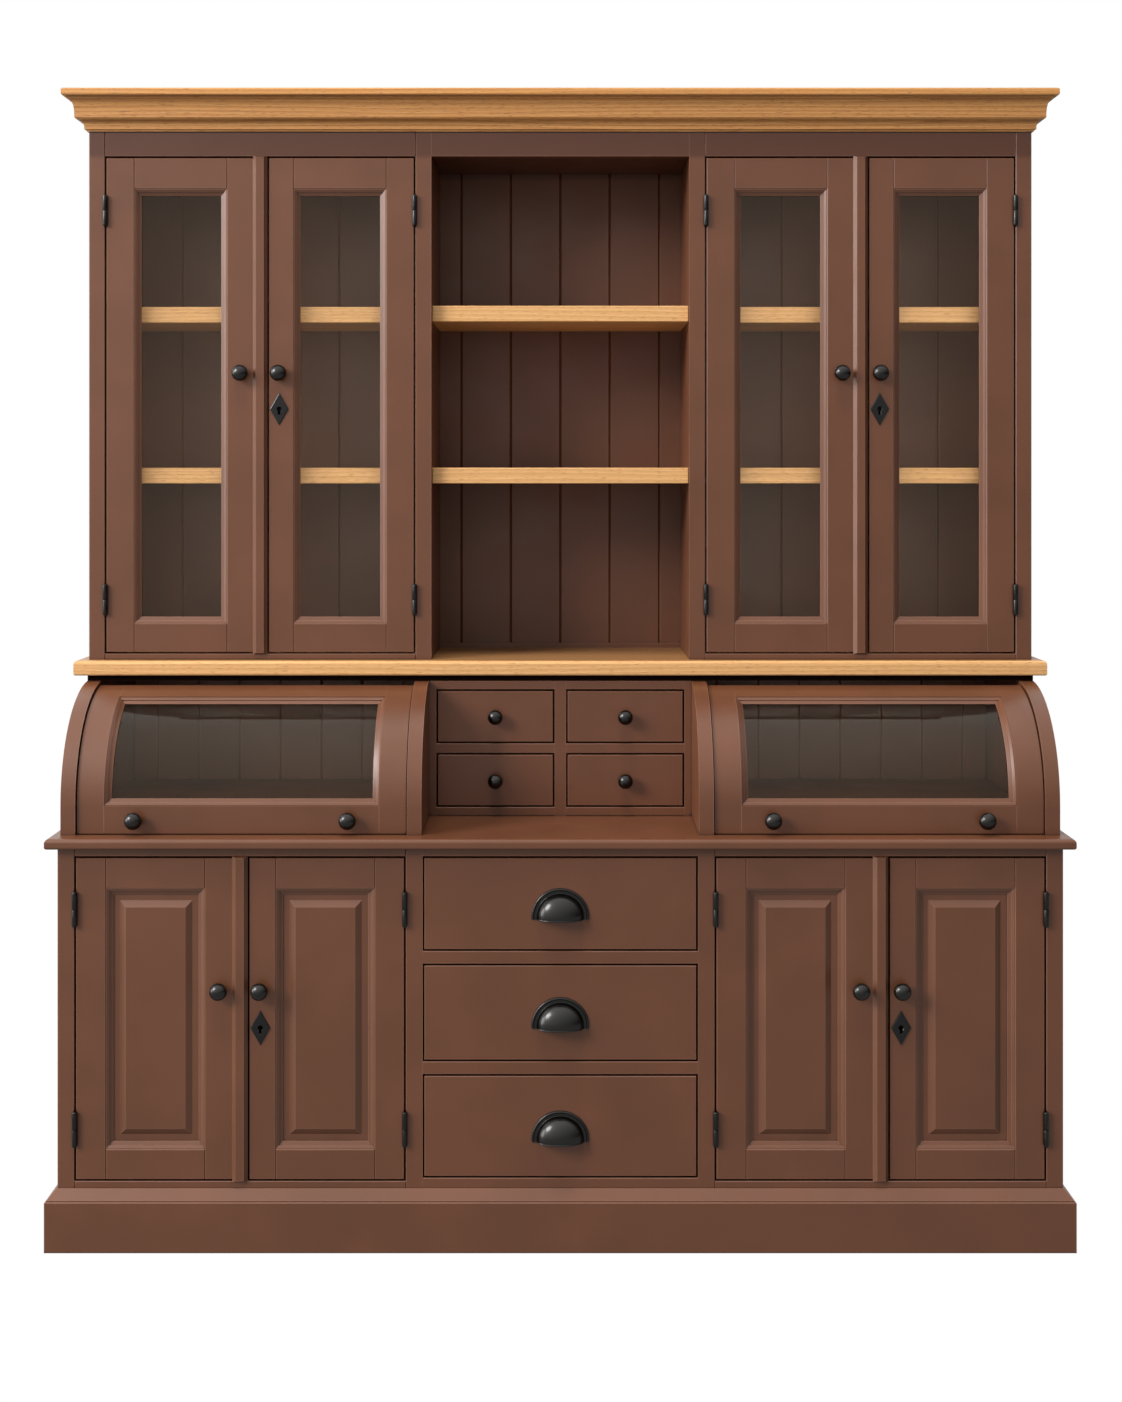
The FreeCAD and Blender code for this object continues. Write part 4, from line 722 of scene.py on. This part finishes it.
# %% Spin the cup pull
fresh()
bpy.ops.mesh.primitive_plane_add(size=MM)
bpy.ops.object.mode_set(mode="EDIT")
bpy.ops.mesh.merge(type="CENTER")
last = (0.0, 0.0)
for point in section:
    step = ((point[0] - last[0]) * MM, (last[1] - point[1]) * MM, 0)
    if point == section[0]:
        bpy.ops.transform.translate(value=step)
    else:
        bpy.ops.mesh.extrude_vertices_move(TRANSFORM_OT_translate={"value": step})
    last = point
bpy.ops.mesh.select_all(action="SELECT")
bpy.ops.mesh.edge_face_add()
bpy.ops.mesh.delete(type="ONLY_FACE")
bpy.ops.mesh.select_all(action="SELECT")
bpy.ops.mesh.spin(steps=48, angle=math.pi, center=(0, 0, 0), axis=(0, 1, 0))
bpy.ops.mesh.select_all(action="SELECT")
bpy.ops.mesh.remove_doubles(threshold=0.001 * MM)
cup_model = bpy.context.object
pick(cup_model, "EDGE", lambda at: on_level(at.x, 0.0) and on_level(at.z, 0.0))
bpy.ops.mesh.delete(type="EDGE")
rim_foot = rim_middle - RIM_BEAD
width, depth = 2 * RIM_BEAD, 0.0
for turn in (0, 30, 60, 90):
    new_depth = CUP_SKIRT - RIM_ROUND * (1 - math.sin(math.radians(turn)))
    new_width = 2 * RIM_BEAD - RIM_ROUND * (1 - math.cos(math.radians(turn)))
    pick(cup_model, "EDGE", lambda at: on_level(at.z, -depth))
    bpy.ops.mesh.extrude_edges_move(TRANSFORM_OT_translate={"value": (0, 0, (depth - new_depth) * MM)})
    for way in (-1, 1):
        pick(cup_model, "EDGE",
             lambda at: on_level(at.z, -new_depth) and at.x * way > (rim_foot - 0.01) * MM)
        bpy.ops.transform.resize(value=(new_width / width, 1, 1),
                                 center_override=(way * rim_foot * MM, 0, -new_depth * MM))
    width, depth = new_width, new_depth
pick(cup_model, "EDGE", lambda at: on_level(at.z, -CUP_SKIRT))
bpy.ops.mesh.edge_face_add()
settle(cup_model)
cup_model.data.materials.append(iron)
print("cup pull size:", [round(v / MM, 1) for v in cup_model.dimensions])

# %% Roll the lip of the cup pull
LIP_RADIUS = 1.5


def on_lip(at):
    """True on the outer edge of the dome's foot, where the lip is rolled."""
    across = at.x / MM / dome_radius
    out = -(at.y / MM + FLANGE) / (CUP_LENGTH - FLANGE)
    return on_level(at.z, -CUP_SKIRT) and out > 0.02 and abs(across) < 1.01 and math.hypot(across, out) > 0.97


take(cup_model)
pick(cup_model, "EDGE", on_lip)
bpy.ops.mesh.duplicate()
bpy.ops.mesh.separate(type="SELECTED")
bpy.ops.object.mode_set(mode="OBJECT")
lip = next(o for o in bpy.context.selected_objects if o is not cup_model)
take(lip)
bpy.ops.object.convert(target="CURVE")
lip.data.bevel_depth = LIP_RADIUS * MM
lip.data.bevel_resolution = 3
lip.data.use_fill_caps = True
bpy.ops.object.convert(target="MESH")
lip.location = (0, 0, LIP_RADIUS * MM)
place_applied()
lip.data.materials.append(iron)
cup_model = joined([cup_model, lip], "cup_pull_model")
print("lip added; cup pull faces:", len(cup_model.data.polygons))

# %% Put the cup pulls on the large drawers
for drawer in ("bottom", "middle", "top"):
    node = drawer + "_large_drawer_cup_pull"
    low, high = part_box(node)
    pull = copy_of(cup_model, (0, high.y, low.z + CUP_SKIRT * MM))
    pull.name = pull.data.name = drawer + "_drawer_cast_pull"
    hand_over(settle(pull), drawer + "_large_drawer", node)
    print(pull.name, "size:", [round(v / MM, 1) for v in pull.dimensions])

# %% [markdown]
# ## Escutcheons, locks and hinges
# Each locked leaf has a forged diamond plate round its keyhole and a rim lock on its back. All leaves
# hang on lift-off hinges: the frame's half has the lower knuckle and the pin, the leaf's half the
# upper knuckle. What belongs to one leaf moves with it, so it becomes one piece.

# %% Forge the diamond plate
PLATE_WIDTH, PLATE_HEIGHT, PLATE_THICKNESS, PLATE_BEVEL = 37.0, 65.0, 2.5, 1.4
KEY_EYE, KEY_SLOT_WIDTH, KEY_SLOT_LENGTH = 4.6, 4.2, 11.0
HOLE_BEVEL = 0.7


def cut_out(piece, cutter):
    """Take one solid out of another."""
    cut = piece.modifiers.new("cut", "BOOLEAN")
    cut.operation, cut.object = "DIFFERENCE", cutter
    take(piece)
    bpy.ops.object.modifier_apply(modifier=cut.name)
    bpy.data.objects.remove(cutter)


def block(low, high):
    """A cube between two corners in millimetres."""
    fresh()
    middle = [(a + b) / 2 * MM for a, b in zip(low, high)]
    size = [(b - a) * MM for a, b in zip(low, high)]
    bpy.ops.mesh.primitive_cube_add(size=1, location=middle, scale=size)
    return place_applied()


def rod(radius, front, back):
    """A cylinder that runs from front to back, in millimetres."""
    fresh()
    bpy.ops.mesh.primitive_cylinder_add(vertices=32, radius=radius * MM, depth=(back - front) * MM,
                                        location=(0, (front + back) / 2 * MM, 0),
                                        rotation=(math.radians(90), 0, 0))
    return place_applied()


def keyhole_out_of(plate, front, back):
    half = KEY_SLOT_WIDTH / 2
    cut_out(plate, rod(KEY_EYE, front, back))
    cut_out(plate, block((-half, front, -KEY_SLOT_LENGTH), (half, back, 0)))


fresh()
bpy.ops.mesh.primitive_circle_add(vertices=4, radius=PLATE_HEIGHT / 2 * MM, fill_type="NGON",
                                  rotation=(math.radians(90), 0, 0))
plate_model = place_applied()
bpy.ops.object.mode_set(mode="EDIT")
bpy.ops.mesh.select_all(action="SELECT")
bpy.ops.transform.resize(value=(PLATE_WIDTH / PLATE_HEIGHT, 1, 1), center_override=(0, 0, 0))
bpy.ops.mesh.extrude_region_move(TRANSFORM_OT_translate={"value": (0, -PLATE_THICKNESS * MM, 0)})
pick(plate_model, "EDGE", lambda at: on_level(at.y, -PLATE_THICKNESS))
bpy.ops.mesh.bevel(offset=PLATE_BEVEL * MM, segments=2, affect="EDGES")
settle(plate_model, 20)
keyhole_out_of(plate_model, -2 * PLATE_THICKNESS, PLATE_THICKNESS)
pick(plate_model, "EDGE", lambda at: on_level(at.y, -PLATE_THICKNESS) and abs(at.x) < 1.1 * KEY_EYE * MM
     and -1.1 * KEY_SLOT_LENGTH * MM < at.z < 1.1 * KEY_EYE * MM)
bpy.ops.mesh.bevel(offset=HOLE_BEVEL * MM, segments=1, affect="EDGES")
settle(plate_model, 20)
plate_model.data.materials.append(forged)
print("diamond plate size:", [round(v / MM, 1) for v in plate_model.dimensions])

# %% Make a slotted screw
SCREW_RADIUS, SCREW_RISE, SLOT_WIDTH, SLOT_DEPTH = 3.2, 1.2, 0.9, 0.7
SCREW_SIDES, SCREW_EDGE, SCREW_TOP = 20, 0.7, 0.85


def slotted_screw(rise):
    """A countersunk head that faces the viewer, with a slot across it."""
    rings = [(SCREW_RADIUS, 0.0), (SCREW_RADIUS, SCREW_EDGE * rise), (SCREW_TOP * SCREW_RADIUS, rise)]
    screw = turned(rings, SCREW_SIDES)
    half, end = SLOT_WIDTH / 2, 2 * SCREW_RADIUS
    cut_out(screw, block((-end, -2 * rise, -half), (end, -rise * (1 - SLOT_DEPTH), half)))
    screw.data.materials.clear()
    screw.data.materials.append(forged)
    return settle(screw)


screw_model = slotted_screw(SCREW_RISE)
print("screw faces:", len(screw_model.data.polygons))

# %% Make the rim lock
LOCK_WIDTH, LOCK_HEIGHT, LOCK_THICKNESS, LOCK_BEVEL = 40.0, 56.0, 12.0, 1.2
LOCK_OFFSET = 15.5
BOLT_ROOM_LENGTH, BOLT_ROOM_THICKNESS, BOLT_ROOM_HEIGHT = 30.3, 6.6, 12.6

lock_model = block((-LOCK_OFFSET, 0, -LOCK_HEIGHT / 2),
                   (LOCK_WIDTH - LOCK_OFFSET, LOCK_THICKNESS, LOCK_HEIGHT / 2))
pick(lock_model, "EDGE", lambda at: on_level(at.y, LOCK_THICKNESS))
bpy.ops.mesh.bevel(offset=LOCK_BEVEL * MM, segments=2, affect="EDGES")
settle(lock_model)
room_y = (LOCK_THICKNESS - BOLT_ROOM_THICKNESS) / 2
bolt_room = block((-LOCK_OFFSET - LOCK_BEVEL, room_y, -BOLT_ROOM_HEIGHT / 2),
                  (BOLT_ROOM_LENGTH - LOCK_OFFSET, room_y + BOLT_ROOM_THICKNESS, BOLT_ROOM_HEIGHT / 2))
cut_out(lock_model, bolt_room)
lock_model.data.materials.clear()
lock_model.data.materials.append(forged)
SCREW_INSET = 6.0
corner_x, corner_z = (LOCK_WIDTH - 2 * SCREW_INSET) / 2, LOCK_HEIGHT / 2 - SCREW_INSET
lock_middle = LOCK_WIDTH / 2 - LOCK_OFFSET
heads = []
for i in (-1, 1):
    for j in (-1, 1):
        place = ((lock_middle + i * corner_x) * MM, LOCK_THICKNESS * MM, j * corner_z * MM)
        heads.append(copy_of(screw_model, place, (1, -1, 1)))
lock_model = joined([lock_model] + heads, "lock_model")
print("lock size:", [round(v / MM, 1) for v in lock_model.dimensions])

# %% Make one half of a hinge
KNUCKLE_RADIUS, KNUCKLE_GAP, PIN_BEFORE_FACE = 4.75, 0.3, 5.05
LEAF_PLATE, LEAF_PLATE_DEPTH, HALF_GAP = 1.0, 18.0, 1.5
TIP_STEPS, TIP_RISE, TIP_TURN, KNUCKLE_BEVEL = 5, 3.0, 82, 0.7
HINGE_SCREW_RISE, SCREW_ALONG, SCREW_BACK = 0.15, (-0.34, 0.0, 0.34), 0.6
HINGE_LENGTHS = {"hutch": 64.0, "base": 68.0}


def hinge_half(length):
    """The leaf's half of a lift-off hinge: its pin at the origin, its plate on the right."""
    fresh()
    top = length / 2
    shoulder = top - TIP_RISE
    bpy.ops.mesh.primitive_cylinder_add(vertices=28, radius=KNUCKLE_RADIUS * MM,
                                        depth=(shoulder - KNUCKLE_GAP) * MM,
                                        location=(0, 0, (shoulder + KNUCKLE_GAP) / 2 * MM))
    barrel = place_applied()
    pick(barrel, "FACE", lambda at: on_level(at.z, shoulder))
    width, height = KNUCKLE_RADIUS, 0.0
    for i in range(1, TIP_STEPS + 1):
        turn = math.radians(TIP_TURN) * i / TIP_STEPS
        new_width, new_height = KNUCKLE_RADIUS * math.cos(turn), TIP_RISE * math.sin(turn)
        rise = (new_height - height) * MM
        bpy.ops.mesh.extrude_region_move(TRANSFORM_OT_translate={"value": (0, 0, rise)})
        ratio = new_width / width
        bpy.ops.transform.resize(value=(ratio, ratio, 1),
                                 center_override=(0, 0, (shoulder + new_height) * MM))
        width, height = new_width, new_height
    pick(barrel, "EDGE", lambda at: on_level(at.z, KNUCKLE_GAP))
    bpy.ops.mesh.bevel(offset=KNUCKLE_BEVEL * MM, segments=2, affect="EDGES")
    bpy.ops.object.mode_set(mode="OBJECT")
    face = PIN_BEFORE_FACE
    plate = block((HALF_GAP - LEAF_PLATE, face, -top), (HALF_GAP, face + LEAF_PLATE_DEPTH, top))
    web = block((HALF_GAP - LEAF_PLATE, 0, KNUCKLE_GAP), (HALF_GAP, face, top / 2))
    pieces = [barrel, plate, web]
    for piece in pieces:
        piece.data.materials.append(forged)
    for share in SCREW_ALONG:
        screw = copy_of(screw_model, (0, 0, 0), (1, HINGE_SCREW_RISE / SCREW_RISE, 1))
        screw.rotation_euler = (0, 0, math.radians(-90))
        screw.location = ((HALF_GAP - LEAF_PLATE) * MM, (face + SCREW_BACK * LEAF_PLATE_DEPTH) * MM,
                          share * length * MM)
        pieces.append(place_applied())
    return joined(pieces, "hinge_half_model")


hinge_models = {tier: hinge_half(length) for tier, length in HINGE_LENGTHS.items()}
print("hinge half size:", [round(v / MM, 1) for v in hinge_models["hutch"].dimensions])

# %% Fit each leaf with its knob, hinges and lock
KEYHOLE_DROP, LEAF_THICKNESS = 72.0, 22.0
pins = {joint["child"]: joint["pos_m"] for joint in frame["joints"] if joint["type"] == "hinge"}
frame_halves = []
for tier, model in hinge_models.items():
    bolt_low, bolt_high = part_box("left_inner_" + tier + "_door_lock_bolt")
    key_z = (bolt_low.z + bolt_high.z) / 2
    for leaf, into in (("left_outer", 1), ("left_inner", -1), ("right_inner", 1), ("right_outer", -1)):
        body = leaf + "_" + tier + "_door"
        node = body + "_ironmongery"
        low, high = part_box(node)
        face_y = low.y + KNOB_LENGTH * MM
        pin_x, pin_y = pins[body][0], pins[body][1]
        knob_x = high.x - KNOB_RADIUS * MM if into > 0 else low.x + PLATE_WIDTH / 2 * MM
        fittings = [copy_of(knob_model, (knob_x, face_y, key_z + KEYHOLE_DROP * MM))]
        half = HINGE_LENGTHS[tier] / 2 * MM
        for hinge_z in (low.z + half, high.z - half):
            fittings.append(copy_of(model, (pin_x, pin_y, hinge_z), (into, 1, 1)))
            frame_halves.append(copy_of(model, (pin_x, pin_y, hinge_z), (-into, 1, -1)))
        if into < 0:
            fittings.append(copy_of(plate_model, (knob_x, face_y, key_z)))
            fittings.append(copy_of(lock_model, (knob_x, face_y + LEAF_THICKNESS * MM, key_z)))
        hand_over(joined(fittings, body + "_iron_fittings"), body, node)
hand_over(joined(frame_halves, "hinge_halves_on_frame"), "carcass", "hinge_frame_halves")
for model in [knob_model, cup_model, plate_model, screw_model, lock_model] + list(hinge_models.values()):
    bpy.data.objects.remove(model)
print("fitted leaves: 8, hinges:", len(frame_halves))

# %% [markdown]
# ## Studio light
# A broad lamp stands far to the left and a little above the eye, so slopes that face left are bright and
# those that face right are dark. A large cloth overhead lights what faces up and leaves shade under the
# cornice, and a weak lamp beside the dresser picks out edges on the left. The world fills the shadows a
# little, and more so behind glass, where lamp light does not reach. The camera sees it as plain white;
# in mirrors it is bright on the left and above and dim on the right, as the walls of a studio are with
# its lamps on one side.

# %% World
AMBIENT, AMBIENT_IN_CUPBOARDS = 0.29, 2.6
BRIGHT_SIDE = (-0.65, -0.05, 1.3)
WALL_DIM, WALL_BRIGHT = 0.08, 2.2
world = bpy.data.worlds.new("white_studio")
bpy.context.scene.world = world
world.use_nodes = True
tree = world.node_tree
tree.nodes.clear()
path = add_node(tree, "ShaderNodeLightPath")
direct = add_node(tree, "ShaderNodeMath",
                  {0: path.outputs["Diffuse Depth"], 1: 0.5}, operation="LESS_THAN")
seen = add_node(tree, "ShaderNodeMath",
                {0: path.outputs["Is Camera Ray"], 1: path.outputs["Is Transmission Ray"]},
                operation="MAXIMUM")
white = add_node(tree, "ShaderNodeMath",
                 {0: seen.outputs["Value"], 1: direct.outputs["Value"]}, operation="MULTIPLY")
mirrored = add_node(tree, "ShaderNodeMath",
                    {0: path.outputs["Is Glossy Ray"], 1: direct.outputs["Value"]}, operation="MULTIPLY")
way = add_node(tree, "ShaderNodeTexCoord")
lean = add_node(tree, "ShaderNodeVectorMath",
                {0: way.outputs["Generated"], 1: BRIGHT_SIDE}, operation="DOT_PRODUCT")
walls = add_node(tree, "ShaderNodeMapRange",
                 {"Value": lean.outputs["Value"], "From Min": -0.6, "From Max": 1.3,
                  "To Min": WALL_DIM, "To Max": WALL_BRIGHT})
fill = add_node(tree, "ShaderNodeMapRange",
                {"Value": path.outputs["Is Transmission Ray"],
                 "To Min": AMBIENT, "To Max": AMBIENT_IN_CUPBOARDS})
inside = add_node(tree, "ShaderNodeMapRange",
                  {"Value": mirrored.outputs["Value"],
                   "To Min": fill.outputs["Result"], "To Max": walls.outputs["Result"]})
level = add_node(tree, "ShaderNodeMapRange",
                 {"Value": white.outputs["Value"], "To Min": inside.outputs["Result"], "To Max": 1.0})
sky = add_node(tree, "ShaderNodeBackground",
               {"Color": linear("#FFFFFF"), "Strength": level.outputs["Result"]})
add_node(tree, "ShaderNodeOutputWorld", {"Surface": sky.outputs["Background"]})
print("ambient:", AMBIENT)


# %% Lamps
def lamp_at(kind, name, place, target):
    """A lamp that shines from one place at another."""
    turn = (Vector(target) - Vector(place)).to_track_quat("-Z", "Y").to_euler()
    bpy.ops.object.light_add(type=kind, location=place, rotation=turn)
    lamp = bpy.context.object
    lamp.name = name
    lamp.visible_transmission = False
    return lamp


key = lamp_at("AREA", "key_lamp", (-7.4, -5.1, 5.5), (0.0, 0.0, 1.2))
key.data.shape, key.data.size, key.data.energy = "DISK", 4.2, 910.0
side = lamp_at("SUN", "side_lamp", (-9.7, -2.0, 2.7), (0.0, 0.0, 1.2))
side.data.angle, side.data.energy = math.radians(25), 0.32 * math.pi
cloth = lamp_at("AREA", "overhead_cloth", (-0.5, -2.1, 8.0), (0.0, 0.0, 1.2))
cloth.data.shape, cloth.data.size, cloth.data.energy = "DISK", 2.4, 290.0
cloth.visible_glossy = False
print("lamps:", key.name, side.name, cloth.name)

# %% [markdown]
# ## The floor
# The dresser stands on a wide, pale floor. Straight from the camera it is nearly as white as the wall,
# so the outline is clean, and what is left of its own colour keeps a soft shadow at the plinth. Paint
# and iron mirror it less than half as bright, which gives the low doors and drawers their sheen.

# %% Floor
FLOOR_SIZE, FLOOR_SHADE = 14.0, "#787876"
FLOOR_GLOW, GLOW_SEEN, GLOW_MIRRORED = 1.07, 0.93, 0.4
bpy.ops.mesh.primitive_plane_add(size=FLOOR_SIZE)
floor = bpy.context.object
floor.name = "studio_floor"
floor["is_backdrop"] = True
pale, tree, shader = new_finish("pale_floor")
shader.inputs["Base Color"].default_value = linear(FLOOR_SHADE)
shader.inputs["Roughness"].default_value = 0.9
path = add_node(tree, "ShaderNodeLightPath")
glow = add_node(tree, "ShaderNodeEmission", {"Color": linear("#FFFFFF"), "Strength": FLOOR_GLOW})
mirrored = add_node(tree, "ShaderNodeMath",
                    {0: path.outputs["Is Glossy Ray"], 1: GLOW_MIRRORED}, operation="MULTIPLY")
share = add_node(tree, "ShaderNodeMath",
                 {0: path.outputs["Is Camera Ray"], 1: GLOW_SEEN, 2: mirrored.outputs["Value"]},
                 operation="MULTIPLY_ADD")
mixed = add_node(tree, "ShaderNodeMixShader",
                 {0: share.outputs["Value"], 1: shader.outputs["BSDF"], 2: glow.outputs["Emission"]})
output = next(n for n in tree.nodes if n.type == "OUTPUT_MATERIAL")
tree.links.new(mixed.outputs["Shader"], output.inputs["Surface"])
floor.data.materials.append(pale)
print("floor:", floor.name)

# %% Finish
scene = bpy.context.scene
scene.view_settings.view_transform = "Standard"
low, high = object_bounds()
print("visual box in mm:", [round(v / MM) for v in high - low])
